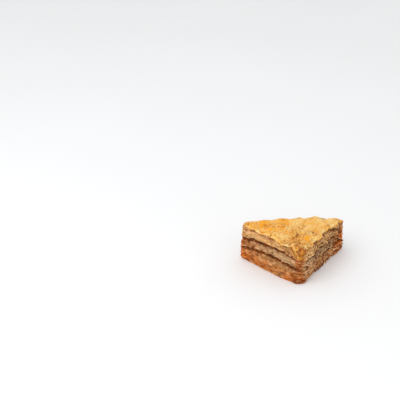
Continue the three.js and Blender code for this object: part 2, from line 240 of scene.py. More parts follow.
class BaklavaColours(bpy.types.PropertyGroup):
    """Colours of the pastry, the syrup and the nuts."""

    upper_leaf: colour_property("Upper leaf", (1.0, 0.62, 0.25), "Leaves under the crust")
    middle_leaf: colour_property("Middle leaf", (0.71, 0.44, 0.215), "Leaves between the nuts")
    bottom_leaf: colour_property("Bottom leaf", (0.67, 0.345, 0.125), "Leaves of the bottom stack")
    soaked_leaf: colour_property("Soaked leaf", (0.86, 0.23, 0.01), "Leaf full of syrup")
    leaf_fleck: colour_property("Leaf fleck", (0.93, 0.64, 0.36), "Pale flecks on the leaves")
    # The toasted leaf colour also paints shadow on the leaves just under the crust's edge.
    toasted_and_shadowed_leaf: colour_property("Toasted leaf", (0.42, 0.11, 0.015), "Leaf baked brown")
    nut_dust: colour_property("Nut dust", (0.2, 0.09, 0.04), "Ground nuts on a leaf")
    # The pale crust colour is the crust's own pale gold, and on the crests a painted highlight. The
    # crest colour is a painted highlight on the highest folds.
    crust_pale_and_highlight: colour_property("Crust, pale", (0.91, 0.65, 0.255), "Crests of the crust")
    crust_crest_highlight: colour_property("Crust, crest", (1.0, 0.8, 0.3), "Highest folds of the crust")
    crust_gold: colour_property("Crust, gold", (0.92, 0.39, 0.013), "Most of the crust")
    # The brown crust colour is for toasted parts, and also paints shade in creases and at the feet
    # of torn sheets.
    crust_brown_and_shade: colour_property("Crust, brown", (0.34, 0.075, 0.003), "Toasted parts")
    nut_dark: colour_property("Nut, dark", (0.07, 0.02, 0.007), "Nut skins")
    nut_mid: colour_property("Nut, brown", (0.3, 0.065, 0.006), "Most of the ground nuts")
    nut_pale: colour_property("Nut, pale", (0.5, 0.25, 0.08), "Broken nut flesh")


def sizes():
    return bpy.context.scene.baklava_sizes


def colours():
    return bpy.context.scene.baklava_colours


def in_mm(metres):
    return metres / MM


# ---- Unevenness ----------------------------------------------------------------------


def scrambled(cell, seed):
    """A repeatable whole number for each lattice cell."""
    primes = np.array([73856093, 19349663, 83492791])
    number = np.bitwise_xor.reduce(cell * primes, axis=-1) ^ (seed * 40503 + 977)
    number = ((number ^ (number >> 13)) & 0xFFFFFFFF) * 1274126177
    return (number ^ (number >> 16)) & 0x7FFF


def uneven(points, length, seed=0):
    """Smooth noise between about -1 and 1, with humps of the given length."""
    scaled = np.asarray(points, float) / length
    cell = np.floor(scaled).astype(np.int64)
    part = scaled - cell
    fade = part**3 * (part * (part * 6 - 15) + 10)
    total = np.zeros(scaled.shape[:-1])
    for corner in itertools.product((0, 1), repeat=3):
        corner = np.array(corner)
        number = scrambled(cell + corner, seed)
        slope = np.stack([number & 31, (number >> 5) & 31, number >> 10], axis=-1) / 15.5 - 1
        weight = np.prod(np.where(corner == 1, fade, 1 - fade), axis=-1)
        total += weight * np.sum(slope * (part - corner), axis=-1)
    return 1.5 * total


def layered(points, length, seed=0, octaves=3):
    """Noise with finer humps added at half the size and half the height each time."""
    return sum(uneven(points, length / 2**k, seed + 31 * k) / 2**k for k in range(octaves))


def crests(points, length, seed=0):
    """Thin sharp crests, near 1 on the crest and towards 0 between."""
    return np.clip(1 - 2.4 * np.abs(uneven(points, length, seed)), 0, 1)


def smoothly(value, low, high):
    """0 below low, 1 above high and smooth between."""
    share = np.clip((value - low) / (high - low), 0, 1)
    return share * share * (3 - 2 * share)


def mixed(a, b, share):
    return a + (b - a) * share


def blurred_round(values, columns):
    """Values round a closed ring, smoothed over so many columns."""
    count = values.shape[-1]
    distance = np.minimum(np.arange(count), count - np.arange(count))
    kernel = np.exp(-0.5 * (distance / columns) ** 2)
    spectrum = np.fft.rfft(values, axis=-1) * np.fft.rfft(kernel / kernel.sum())
    return np.fft.irfft(spectrum, n=count, axis=-1)


def blurred_grid(grid, cells):
    """A grid smoothed over so many cells both ways, with its border repeated outwards."""
    reach = int(3 * cells) + 1
    kernel = np.exp(-0.5 * (np.arange(-reach, reach + 1) / cells) ** 2)
    kernel /= kernel.sum()
    for axis in (0, 1):
        padded = np.pad(grid, [(reach, reach) if a == axis else (0, 0) for a in (0, 1)], "edge")
        grid = np.apply_along_axis(np.convolve, axis, padded, kernel, "valid")
    return grid


# ---- The slice's shape, read from the frame ------------------------------------------


class HeightMap:
    """Heights of the upper or lower face of a solid over the plan, in millimetres."""

    MARGIN = 9

    def __init__(self, height_at, low, high, step, blur):
        self.step = step
        self.low = low - self.MARGIN
        counts = np.ceil((high - low + 2 * self.MARGIN) / step).astype(int) + 1
        self.grid = np.full(counts, np.nan)
        for i, j in itertools.product(range(counts[0]), range(counts[1])):
            self.grid[i, j] = height_at(*(self.low + step * np.array([i, j])))
        self.spread()
        self.grid = blurred_grid(self.grid, blur / step)

    def spread(self):
        """Carries the heights at the edge outwards, cell by cell."""
        while np.isnan(self.grid).any():
            padded = np.pad(self.grid, 1, constant_values=np.nan)
            near = np.stack(
                [
                    padded[1 + a : padded.shape[0] - 1 + a, 1 + b : padded.shape[1] - 1 + b]
                    for a, b in itertools.product((-1, 0, 1), repeat=2)
                ]
            )
            known = ~np.isnan(near)
            mean = np.nansum(near, axis=0) / np.maximum(known.sum(axis=0), 1)
            fill = np.isnan(self.grid) & known.any(axis=0)
            self.grid[fill] = mean[fill]

    def __call__(self, points):
        """Heights at plan points, an array that ends in x and y."""
        place = (np.asarray(points)[..., :2] - self.low) / self.step
        place = np.clip(place, 0, np.array(self.grid.shape) - 1.001)
        cell = np.floor(place).astype(int)
        u, v = np.moveaxis(place - cell, -1, 0)
        i, j = np.moveaxis(cell, -1, 0)
        near = mixed(self.grid[i, j], self.grid[i + 1, j], u)
        far = mixed(self.grid[i, j + 1], self.grid[i + 1, j + 1], u)
        return mixed(near, far, v)


class SliceShape:
    """Plan, side faces and layer faces of the slice."""

    # The plan is that of this solid, at this height.
    LOWER_NODE = "phyllo_bottom"
    PLAN_HEIGHT = 9.0
    # The middle of the plan, as a share of the way from the front corner to the long side.
    MIDDLE_DEPTH = 0.62
    # How far away from the middle, and from the outline, rays towards them start.
    FAR = 120.0
    NEAR = 14.0
    RAY_STEP_DEGREES = 0.5
    # Layer faces are read out to this share of the outline, and the crust's up to its side,
    # less an inset.
    INNER_SHARE = 0.95
    CRUST_LEVEL = 0.8
    CRUST_INSET = 0.6
    # Grid step and smoothing of a height map, for the crust and for the other faces.
    CRUST_GRID = (0.6, 0.7)
    LAYER_GRID = (1.5, 1.2)
    # How far sides are smoothed along the edge, in millimetres.
    SIDE_BLUR = 2.0

    def __init__(self):
        self.trees = {name: solid_tree(node) for name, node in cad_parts.items()}
        low, high = (np.array(corner) / MM for corner in CAD_BOX)
        self.low, self.high = low[:2], high[:2]
        self.middle = np.array([(low[0] + high[0]) / 2, mixed(low[1], high[1], self.MIDDLE_DEPTH)])
        self.read_outline()
        self.read_sides()
        self.roofs = {name: self.height_map(name, upper=True) for name in self.trees}
        self.floors = {name: self.height_map(name, upper=False) for name in self.trees}

    def read_outline(self):
        """The plan's outline, evenly spaced from the front corner and counter-clockwise."""
        turns = np.radians(np.arange(0, 360, self.RAY_STEP_DEGREES) - 90)
        rays = np.stack([np.cos(turns), np.sin(turns)], axis=-1)
        tree = self.trees[self.LOWER_NODE]
        found = np.array([self.outer_hit(tree, ray) for ray in rays])
        found = blurred_round(found.T, 2).T
        found = np.roll(found, -int(np.argmin(found[:, 1])), axis=0)
        closed = np.vstack([found, found[:1]])
        run = np.concatenate([[0], np.cumsum(np.hypot(*np.diff(closed, axis=0).T))])
        self.girth = run[-1]
        self.along = np.arange(COLUMNS) * self.girth / COLUMNS
        self.outline = np.stack([np.interp(self.along, run, closed[:, a]) for a in (0, 1)], -1)
        self.outline = blurred_round(self.outline.T, 3).T
        tangent = np.roll(self.outline, -1, axis=0) - np.roll(self.outline, 1, axis=0)
        tangent = blurred_round(tangent.T, 3).T
        tangent /= np.linalg.norm(tangent, axis=-1, keepdims=True)
        self.outward = np.stack([tangent[:, 1], -tangent[:, 0]], axis=-1)
        self.right_at = self.along[np.argmax(self.outline[:, 0])]
        self.left_at = self.along[np.argmin(self.outline[:, 0])]

    def outer_hit(self, tree, ray):
        start = self.middle + self.FAR * ray
        origin = Vector((*start, self.PLAN_HEIGHT))
        hit = tree.ray_cast(origin, Vector((*-ray, 0)))[0]
        return hit.x, hit.y

    def read_sides(self):
        """How far each solid's side stands out from the outline, by level and column."""
        self.offsets = {}
        for name, tree in self.trees.items():
            low, high = self.side_range(tree)
            offsets = np.zeros((len(SIDE_LEVELS), COLUMNS))
            for row, share in enumerate(SIDE_LEVELS):
                for k in range(COLUMNS):
                    start = self.outline[k] + self.NEAR * self.outward[k]
                    origin = Vector((*start, mixed(low[k], high[k], share)))
                    hit = tree.ray_cast(origin, Vector((*-self.outward[k], 0)), 2 * self.NEAR)
                    offsets[row, k] = self.NEAR - hit[3] if hit[0] else np.nan
            level = np.nanmedian(offsets)
            offsets = np.where(np.isnan(offsets), level, offsets)
            self.offsets[name] = blurred_round(offsets, self.SIDE_BLUR * COLUMNS / self.girth)

    def side_range(self, tree):
        """The lowest and highest points of a solid just inside the outline, by column."""
        inner = mixed(self.middle, self.outline, self.INNER_SHARE)
        low = [self.height_at(tree, x, y, upper=False) for x, y in inner]
        high = [self.height_at(tree, x, y, upper=True) for x, y in inner]
        return self.bridged(np.array(low)), self.bridged(np.array(high))

    def height_at(self, tree, x, y, upper):
        """The height of a solid's upper or lower face at a plan point, or nan off it."""
        start, heading = (self.FAR, -1) if upper else (-self.FAR, 1)
        hit = tree.ray_cast(Vector((x, y, start)), Vector((0, 0, heading)))[0]
        return hit.z if hit else np.nan

    def bridged(self, values):
        """Values by column, with the missing ones taken from between their neighbours."""
        known = ~np.isnan(values)
        return np.interp(self.along, self.along[known], values[known], period=self.girth)

    def height_map(self, name, upper):
        """Heights of a solid's upper or lower face, carried on outwards past its side."""
        crust = upper and name == "phyllo_top"
        if crust:
            out = self.offset(name, self.along, self.CRUST_LEVEL) - self.CRUST_INSET
            edge = self.outline + out[:, None] * self.outward
        else:
            edge = mixed(self.middle, self.outline, self.INNER_SHARE)
        edge = np.vstack([edge, edge[:1]])
        turn = np.unwrap(np.arctan2(*(edge - self.middle).T[::-1]))
        reach = np.linalg.norm(edge - self.middle, axis=-1)

        def height_inside(x, y):
            bearing = math.atan2(y - self.middle[1], x - self.middle[0])
            bearing = turn[0] + (bearing - turn[0]) % (2 * math.pi)
            away = math.hypot(x - self.middle[0], y - self.middle[1])
            inside = away < np.interp(bearing, turn, reach)
            return self.height_at(self.trees[name], x, y, upper) if inside else np.nan

        grid = self.CRUST_GRID if crust else self.LAYER_GRID
        return HeightMap(height_inside, self.low, self.high, *grid)

    def edge(self, along):
        """Outline points and outward directions, so far along from the front corner."""
        found = []
        for line in (self.outline, self.outward):
            x, y = (np.interp(along, self.along, line[:, a], period=self.girth) for a in (0, 1))
            found.append(np.stack([x, y], axis=-1))
        return found

    def offset(self, name, along, share):
        """How far a solid's side stands out, at a share of the way up it."""
        along, share = np.broadcast_arrays(along, share)
        last_row = len(SIDE_LEVELS) - 1.001
        row = (share - SIDE_LEVELS[0]) / (SIDE_LEVELS[1] - SIDE_LEVELS[0])
        row = np.clip(row, 0, last_row)
        column = (along % self.girth) / self.girth * COLUMNS
        i, k = row.astype(int), column.astype(int) % COLUMNS
        u, v = row - i, column - np.floor(column)
        grid, after = self.offsets[name], (k + 1) % COLUMNS
        below = mixed(grid[i, k], grid[i, after], v)
        above = mixed(grid[i + 1, k], grid[i + 1, after], v)
        return mixed(below, above, u)

    def side(self, name, along, share, out=0.0):
        """Points on a solid's side, and so far out from it."""
        point, outward = self.edge(along)
        place = point + outward * np.asarray(self.offset(name, along, share) + out)[..., None]
        floor, roof = self.floors[name](place), self.roofs[name](place)
        return np.concatenate([place, mixed(floor, roof, share)[..., None]], axis=-1)

    def signed(self, along):
        """Distances from the front corner, negative to the left of it."""
        along = np.asarray(along) % self.girth
        return np.where(along > self.girth / 2, along - self.girth, along)


def solid_tree(node):
    corners = [vertex.co / MM for vertex in node.data.vertices]
    return BVHTree.FromPolygons(corners, [tuple(face.vertices) for face in node.data.polygons])


@cache
def slice_shape():
    return SliceShape()


def stain(kind, along, height):
    """How strong a kind of stain is round the sides, from 0 up."""
    along = slice_shape().signed(along)
    total = np.zeros(np.broadcast(along, height).shape)
    for at, middle, width, tall, strength in STAINS[kind]:
        away = ((along - at) / width) ** 2 + ((height - middle) / tall) ** 2
        total = np.maximum(total, strength * np.exp(-away))
    return total


def patch(kind, points):
    """How strong a kind of patch is on the crust, from 0 to 1."""
    total = np.zeros(points.shape[:-1])
    for x, y, radius, strength in SPOTS[kind]:
        away = np.hypot(points[..., 0] - x, points[..., 1] - y) / radius
        total = np.maximum(total, strength * np.exp(-(away**2)))
    return total


# ---- Meshes --------------------------------------------------------------------------


def outward_facing(vertices, faces):
    """The same triangles, turned if the solid they close is inside out."""
    a, b, c = (vertices[faces[:, k]] for k in range(3))
    return faces if np.sum(a * np.cross(b, c)) > 0 else faces[:, ::-1]


def make_piece(name, vertices, faces, material, nodes, tones, smooth=True):
    """A mesh piece from millimetres, riding on the slice in place of the solids it dresses."""
    vertices = np.asarray(vertices, float).reshape(-1, 3)
    faces = outward_facing(vertices, np.asarray(faces, np.int32).reshape(-1, 3))
    mesh = bpy.data.meshes.new(name)
    mesh.vertices.add(len(vertices))
    mesh.vertices.foreach_set("co", (vertices * MM).astype(np.float32).ravel())
    mesh.loops.add(faces.size)
    mesh.loops.foreach_set("vertex_index", faces.astype(np.int32).ravel())
    mesh.polygons.add(len(faces))
    mesh.polygons.foreach_set("loop_start", np.arange(0, faces.size, 3, dtype=np.int32))
    mesh.update(calc_edges=True)
    mesh.polygons.foreach_set("use_smooth", np.full(len(faces), smooth))
    for title, values in tones.items():
        layer = mesh.attributes.new(title, "FLOAT", "POINT")
        layer.data.foreach_set("value", np.clip(values, 0, 1).astype(np.float32).ravel())
    mesh.materials.append(material)
    piece = bpy.data.objects.new(name, mesh)
    bpy.context.scene.collection.objects.link(piece)
    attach(piece, BODY)
    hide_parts(*nodes)


def band(first, second):
    """Triangles between two closed rings, given as the numbers of their points."""
    first_after, second_after = np.roll(first, -1), np.roll(second, -1)
    return np.vstack(
        [
            np.column_stack([first, second, second_after]),
            np.column_stack([first, second_after, first_after]),
        ]
    )


def fan(point, ring):
    """Triangles from one point to a closed ring, given as the numbers of their points."""
    return np.column_stack([np.full(len(ring), point), ring, np.roll(ring, -1)])


def tube_faces(columns, points):
    """Triangles of a closed band: a closed section of points carried round all columns."""
    k = np.arange(columns)[:, None]
    p = np.arange(points)[None, :]
    after, beside = (k + 1) % columns, (p + 1) % points
    a, b = k * points + p, k * points + beside
    c, d = after * points + beside, after * points + p
    faces = np.stack([np.stack([a, d, b], -1), np.stack([d, c, b], -1)], axis=2)
    return faces.reshape(-1, 3)


def capped_rings(rings):
    """A closed solid from rings of equal length, lowest first, with a point in each cap."""
    floor, roof = (ring.mean(axis=0) for ring in (rings[0], rings[-1]))
    vertices = np.concatenate([*rings, floor[None], roof[None]])
    numbers = np.arange(len(vertices) - 2).reshape(len(rings), -1)
    faces = [band(lower, upper) for lower, upper in itertools.pairwise(numbers)]
    faces.append(fan(len(vertices) - 2, numbers[0]))
    faces.append(fan(len(vertices) - 1, numbers[-1])[:, ::-1])
    return vertices, outward_facing(vertices, np.concatenate(faces))


def side_core(name, shares, stretch, out_at):
    """A closed core inside a solid's sides. out_at gives how far out it stands at a spot."""
    shape = slice_shape()
    point, _ = shape.edge(shape.along)
    rings = []
    for share in shares:
        spot = np.column_stack([point, np.full(COLUMNS, stretch * share)])
        rings.append(shape.side(name, shape.along, share, out=out_at(spot)))
    return capped_rings(rings)


def joined(parts):
    """Several (vertices, faces, tones) as one, with the faces numbered on."""
    first, faces = 0, []
    for vertices, triangles, _ in parts:
        faces.append(triangles + first)
        first += len(vertices)
    tones = {title: np.concatenate([part[2][title] for part in parts]) for title in parts[0][2]}
    return np.concatenate([part[0] for part in parts]), np.concatenate(faces), tones


# ---- Leaves --------------------------------------------------------------------------

# A leaf's section: how far in from its tip each point is, and its height in half
# thicknesses. It runs from the inside, out along the underside and back over the top.
LEAF_SECTION = [(None, -1), (1.3, -1), (0.3, -0.9), (0, 0), (0.3, 0.9), (1.3, 1), (None, 1)]
LEAF_ROOT = 0.8
# A leaf that droops bends over this length at its tip.
LEAF_BEND = 1.3
# Behind the leaves, the core's rings lie at these shares of the way up its stack.
CORE_SHARES = np.linspace(0.03, 0.85, 7)
CORE_SETBACK = 2.4
CORE_TONES = {"soak": 0.6, "toast_and_shadow": 0.5, "dust": 0.5, "tone": 0.2}
# How far leaves are drawn back where bits fell out.
HOLLOW_DEPTH = 2.6
# Nothing hangs lower than this over the surface that the slice rests on.
LEAST_HEIGHT = 0.02
# How far neighbouring leaves are squeezed together or opened along the edge.
SQUEEZE = 0.055
# How far a leaf over or under a filling bends across it, and how much further it reaches.
COVER_DOWN, COVER_UP, COVER_REACH = 1.1, 0.8, 0.35
COVER_DRAWN_BACK = 0.35
# How far the upper leaves stay below the crust's top, at their tips and at their roots.
CRUST_COVER = (0.5, 1.7)
# Clumps of leaves stand out together: they are wider than they are high.
CLUMP_STRETCH = np.array([0.7, 0.7, 1.5])
# Light and dark streaks run along the leaves.
STREAK_STRETCH = np.array([0.55, 0.55, 1.9])
# Lengths of the humps along a leaf's edge, in millimetres: in how far it reaches, its jags,
# its clumps, its breaks and the ragged inside of a break, its wave, its droop and thickness.
REACH_HUMP, JAG_HUMP, CLUMP_HUMP = 9, 1.7, 3.6
BREAK_HUMP, BREAK_JAG = 7, 1.2
WAVE_HUMP, DROOP_HUMP, THICKNESS_HUMP = 3.5, 5, 6
# The noise above which a leaf starts to be broken, and is fully broken.
BREAK_RANGE = (0.42, 0.5)
# How far leaves droop here and there, and how much more loosely the right-hand cut lies.
LEAF_DROOP = 0.35
RIGHT_LOOSER = 0.9
# Lengths of the clouds, mottles and streaks in a leaf's colour.
CLOUD_HUMP, MOTTLE_HUMP, STREAK_HUMP = 9, 3.2, 2.3
MOTTLE_STRETCH = np.array([1, 1, 1.3])
# How loosely each stack lies.
LOOSENESS = {"phyllo_bottom": 0.7, "phyllo_middle": 0.85, "phyllo_top": 1.25}
# Where the crumbly right-hand cut fades in and out again, in millimetres along the edge.
RIGHT_CUT_FROM = (3, 12)
RIGHT_CUT_TO = (74, 68)
# The bottom stack is soaked from the upper of these heights down to the lower.
SOAKED_FROM, SOAKED_TO = 15, 6


def leaf_levels(count, random):
    """Where each leaf lies in its stack and how thick it is, as shares of the stack."""
    thickness = np.exp(0.38 * random.normal(size=count))
    thickness /= thickness.sum()
    return np.cumsum(thickness) - thickness / 2, thickness


def squeezed(along, share, seed):
    """A leaf's share of the way up, as the stack is squeezed and opened along its edge."""
    point, _ = slice_shape().edge(along)
    spot = np.column_stack([point / 9, np.full(len(point), 4 * share + seed)])
    return share + SQUEEZE * 4 * share * (1 - share) * uneven(spot, 1, seed)


def filling_cover(name, leaf, count, height):
    """How far a leaf next to a filling droops over it, where the filling isn't open."""
    over = leaf == 0 and name != STACKS[0]
    under = leaf == count - 1 and name != STACKS[-1]
    if not (over or under):
        return np.zeros(COLUMNS)
    shape = slice_shape()
    point, _ = shape.edge(shape.along)
    torn = 0.3 * uneven(np.column_stack([point, np.full(COLUMNS, 9 * leaf)]), 2.4, 33)
    shut = 1 - smoothly(stain("open", shape.along, height) + torn, 0.2, 0.5)
    return (COVER_UP if under else -COVER_DOWN) * (shut - COVER_DRAWN_BACK * (1 - shut))


def leaf_edge(name, leaf, share, seed):
    """Where one leaf of a stack ends, how high it runs, and how thick it is."""
    shape, size = slice_shape(), sizes()
    along = shape.along
    point, _ = shape.edge(along)
    spot = np.column_stack([point, np.full(COLUMNS, 3.1 * leaf + seed)])
    rough = LOOSENESS[name] * (1 + RIGHT_LOOSER * right_cut_share(along))
    reach = in_mm(size.leaf_reach) * (0.5 + layered(spot, REACH_HUMP, seed)) * rough
    reach = reach + in_mm(size.leaf_jag) * layered(spot, JAG_HUMP, seed + 1) * rough
    place = shape.side(name, along, share)
    clump = layered(place * CLUMP_STRETCH, CLUMP_HUMP, 34)
    reach = reach + in_mm(size.clump) * clump * rough
    broken = smoothly(uneven(spot, BREAK_HUMP, seed + 2), *BREAK_RANGE)
    reach = reach - in_mm(size.bite) * broken * (0.7 + 0.3 * uneven(spot, BREAK_JAG, seed + 3))
    wave = LOOSENESS[name] * in_mm(size.leaf_wave) * 0.6 * uneven(spot, WAVE_HUMP, seed + 5)
    droop = LEAF_DROOP * uneven(spot, DROOP_HUMP, seed + 6)
    thickness = 0.86 + 0.3 * uneven(spot, THICKNESS_HUMP, seed + 7)
    hollow = stain("hollow", along, place[:, 2])
    reach = reach - HOLLOW_DEPTH * smoothly(hollow + 0.1 * uneven(spot, 1.3, seed + 8), 0.25, 0.5)
    return reach, wave, droop, thickness


def leaf_stack(name, count, seed):
    """All the leaves of one stack, with their colour tones."""
    shape = slice_shape()
    along = shape.along
    random = np.random.default_rng(seed)
    levels, thicknesses = leaf_levels(count, random)
    leaves = []
    for leaf, (level, own) in enumerate(zip(levels, thicknesses)):
        reach, wave, droop, thickness = leaf_edge(name, leaf, level, seed)
        share = squeezed(along, level, seed + 4)
        tip = shape.side(name, along, share, out=reach)
        lip = filling_cover(name, leaf, count, tip[:, 2])
        tip = shape.side(name, along, share, out=reach + COVER_REACH * np.abs(lip))
        floor, roof = shape.floors[name](tip), shape.roofs[name](tip)
        half = thickness * (roof - floor) * own / 2
        section = []
        for inset, side in LEAF_SECTION:
            if inset is None:
                place = mixed(shape.middle, shape.outline, LEAF_ROOT)
                height = mixed(shape.floors[name](place), shape.roofs[name](place), level)
                wobble = 0
            else:
                place = tip[:, :2] - inset * shape.outward
                height = mixed(shape.floors[name](place), shape.roofs[name](place), share)
                bend = max(0, 1 - inset / LEAF_BEND)
                wobble = wave * (1 - 0.3 * inset) + (droop + lip) * bend
            height = height + wobble + side * half
            if name == "phyllo_top":
                cover = CRUST_COVER[1] if inset is None else mixed(*CRUST_COVER, min(1, inset))
                height = np.minimum(height, shape.roofs[name](place) - cover)
            height = np.maximum(height, LEAST_HEIGHT)
            section.append(np.column_stack([place, height]))
        ring = np.stack(section, axis=1)
        faces = tube_faces(*ring.shape[:2])
        leaves.append((ring.reshape(-1, 3), faces, leaf_tones(along, ring, random)))
    return joined(leaves)


def right_cut_share(along):
    """1 on the crumbly right-hand cut and 0 on the other sides."""
    signed = slice_shape().signed(along)
    return smoothly(signed, *RIGHT_CUT_FROM) * smoothly(signed, *RIGHT_CUT_TO)


def leaf_tones(along, ring, random):
    """Soak, baked brown with painted shadow under the crust's edge, nut dust and lightness over one
    leaf.
    """
    around = np.repeat(along[:, None], ring.shape[1], axis=1)
    height = ring[..., 2]
    cloud = layered(ring, CLOUD_HUMP, 5)
    mottle = layered(ring * MOTTLE_STRETCH, MOTTLE_HUMP, 15)
    base = smoothly(height, SOAKED_FROM, SOAKED_TO)
    right = right_cut_share(around)
    soaked = (0.45 - 0.3 * right + 0.6 * cloud + 0.5 * mottle) * base
    soak = np.maximum(soaked, stain("soak", around, height) * (1 + 0.25 * mottle))
    # Baked brown here, and painted shadow under the crust's edge, where the stains say.
    toast_and_shadow = stain("toast_and_shadow", around, height) * (0.9 + 0.7 * mottle)
    toast_and_shadow = np.maximum(toast_and_shadow, 0.35 * base * smoothly(mottle, 0.1, 0.7))
    hollow = stain("hollow", around, height)
    dust = stain("dust", around, height) * smoothly(layered(ring, 2.2, 9), -0.45, 0.35)
    dust = np.maximum(dust, smoothly(hollow, 0.3, 0.7))
    dust = np.maximum(dust, (0.45 + 0.3 * right) * smoothly(layered(ring, 2.0, 19), 0.35, 0.7))
    streak = layered(ring * STREAK_STRETCH, STREAK_HUMP, 16, octaves=2)
    tone = 0.56 + 0.08 * random.normal() + 0.12 * layered(ring, 5, 12) - 0.08 * right
    tone = tone + 0.2 * stain("light", around, height) * (1 - 0.5 * dust)
    tone = tone - 0.1 * soak
    tone = tone + (0.66 + 0.2 * right) * streak + 0.3 * mottle
    tones = {"soak": soak, "toast_and_shadow": toast_and_shadow, "dust": dust, "tone": tone}
    return {title: values.ravel() for title, values in tones.items()}


def dressed_stack(name, count, seed):
    """The leaves of one stack, and a core behind them that fills its inside."""
    leaves = leaf_stack(name, count, seed)
    core, faces = side_core(
        name, CORE_SHARES, 20, lambda spot: 0.3 * uneven(spot, 3, seed) - CORE_SETBACK
    )
    tones = {title: np.full(len(core), value) for title, value in CORE_TONES.items()}
    return joined([leaves, (core, faces, tones)])


# ---- Nuts and crumbs -----------------------------------------------------------------

# How many times a fragment is struck flat, and how far from its middle.
STRIKES = 6
STRIKE_DEPTH = (0.3, 0.75)
# Shares of the way up a filling: of the rings of its core, and of its nuts.
NUT_CORE_SHARES = (0.04, 0.25, 0.5, 0.75, 0.96)
NUT_SHARES = (0.12, 0.88)
# Least and greatest radii, in millimetres.
NUT_RADII = (0.25, 1.6)
CRUMB_RADII = (0.12, 1.1)
# How the crumbs are shared out between the stacks, and how far up a stack they stick.
CRUMB_CHANCES = [0.42, 0.3, 0.28]
CRUMB_SHARES = (0.05, 0.9)
CRUMB_RADIUS = 0.27
# The share of the crumbs that stick to the right-hand cut, and the radius over which a crumb
# has the finer shape.
RIGHT_CRUMBS = 0.62
FINE_CRUMB = 0.34


@cache
def pebble(detail):
    """A small closed ball to be broken into shape: unit points and triangles."""
    mesh = bpy.data.meshes.new("pebble")
    ball = bmesh.new()
    bmesh.ops.create_icosphere(ball, subdivisions=detail, radius=1)
    bmesh.ops.triangulate(ball, faces=ball.faces[:])
    ball.to_mesh(mesh)
    ball.free()
    points = np.array([vertex.co for vertex in mesh.vertices])
    faces = np.array([tuple(face.vertices) for face in mesh.polygons])
    bpy.data.meshes.remove(mesh)
    return points, faces


def broken_pieces(places, radii, squash, seed, detail=2):
    """Angular fragments at places: each is a ball with sides struck off, turned at random."""
    random = np.random.default_rng(seed)
    points, faces = pebble(detail)
    count = len(places)
    body = np.repeat(points[None], count, axis=0)
    for _ in range(STRIKES):
        strike = random.normal(size=(count, 3))
        strike /= np.linalg.norm(strike, axis=-1, keepdims=True)
        depth = random.uniform(*STRIKE_DEPTH, size=(count, 1))
        past = np.maximum(np.einsum("npk,nk->np", body, strike) - depth, 0)
        body = body - past[..., None] * strike[:, None, :]
    body *= random.uniform(0.5, 1.3, size=(count, 1, 3)) * np.array([1, 1, squash])
    turn = np.linalg.qr(random.normal(size=(count, 3, 3)))[0]
    body = np.einsum("npk,nkl->npl", body, turn) * radii[:, None, None]
    body = body + places[:, None, :]
    body[..., 2] += np.maximum(LEAST_HEIGHT - body[..., 2].min(axis=1), 0)[:, None]
    vertices = body.reshape(-1, 3)
    numbered = (faces[None] + len(points) * np.arange(count)[:, None, None]).reshape(-1, 3)
    return vertices, outward_facing(vertices, numbered), len(points)


def nut_layer(name, seed):
    """One layer of ground nuts: a lumpy core with broken nuts pressed into its face."""
    shape, size = slice_shape(), sizes()
    core, core_faces = side_core(
        name, NUT_CORE_SHARES, 8, lambda spot: 0.4 * layered(spot, 2, seed) - 0.5
    )
    core_tone = 0.22 + 0.22 * layered(core, 2.4, seed)
    random = np.random.default_rng(seed)
    count = size.nuts_each
    along = random.uniform(0, shape.girth, count)
    share = random.uniform(*NUT_SHARES, count)
    radii = in_mm(size.nut_size) * np.exp(0.5 * random.normal(size=count))
    radii = np.clip(radii, *NUT_RADII)
    covered = 1 - stain("open", along, shape.side(name, along, share)[:, 2])
    out = random.uniform(-0.35, 0.75, count) - 0.3 * radii - 0.6 * covered
    places = shape.side(name, along, share, out=out)
    nuts, nut_faces, each = broken_pieces(places, radii, 0.85, seed + 1)
    tone = random.beta(1.4, 3.6, count) + 0.05 + 0.3 * covered * random.random(count)
    tone = np.repeat(tone, each)
    return joined([(core, core_faces, {"tone": core_tone}), (nuts, nut_faces, {"tone": tone})])


def crumb_places(count, random):
    """Places and radii for crumbs on the leaf stacks' sides, most on the right-hand cut."""
    shape = slice_shape()
    chosen = random.choice(len(STACKS), count, p=CRUMB_CHANCES)
    right = random.random(count) < RIGHT_CRUMBS
    on_right = random.uniform(RIGHT_CUT_FROM[0], shape.right_at, count)
    along = np.where(right, on_right, random.uniform(0, shape.girth, count))
    share = random.uniform(*CRUMB_SHARES, count)
    radii = np.clip(CRUMB_RADIUS * np.exp(0.62 * random.normal(size=count)), *CRUMB_RADII)
    radii = radii * np.where(right, 1.2, 0.9)
    places = np.zeros((count, 3))
    for k, name in enumerate(STACKS):
        mine = chosen == k
        places[mine] = shape.side(name, along[mine], share[mine], out=0.1 * radii[mine])
    return places, radii


def all_crumbs(count, seed):
    """Crumbs as broken pieces, the small ones in a coarser shape."""
    random = np.random.default_rng(seed)
    places, radii = crumb_places(count, random)
    tone = random.beta(0.9, 1.1, count)
    parts = []
    for detail, chosen in ((1, radii < FINE_CRUMB), (2, radii >= FINE_CRUMB)):
        crumb, faces, each = broken_pieces(places[chosen], radii[chosen], 0.6, seed + 1, detail)
        parts.append((crumb, faces, {"tone": np.repeat(tone[chosen], each)}))
    return joined(parts)


# ---- Crust ---------------------------------------------------------------------------

CRUST_STEPS = 270
# The crust's wall, from the rim down: shares of its thickness, and how far in it has drawn.
CRUST_WALL = ((0.35, -0.08), (0.8, 0.0), (1.0, 0.25), (1.0, 1.4), (1.0, 6))
LEAST_CRUST = 0.25
# Torn sheets of the crust: how wide the patches are, and the seed of each.
TEARS = [(19, 46), (13, 47), (10, 48), (8.5, 53)]
# How high a sheet lies over the next, and how far its torn lip stands up.
SHEET_STEP = 0.34
LIP = 0.28
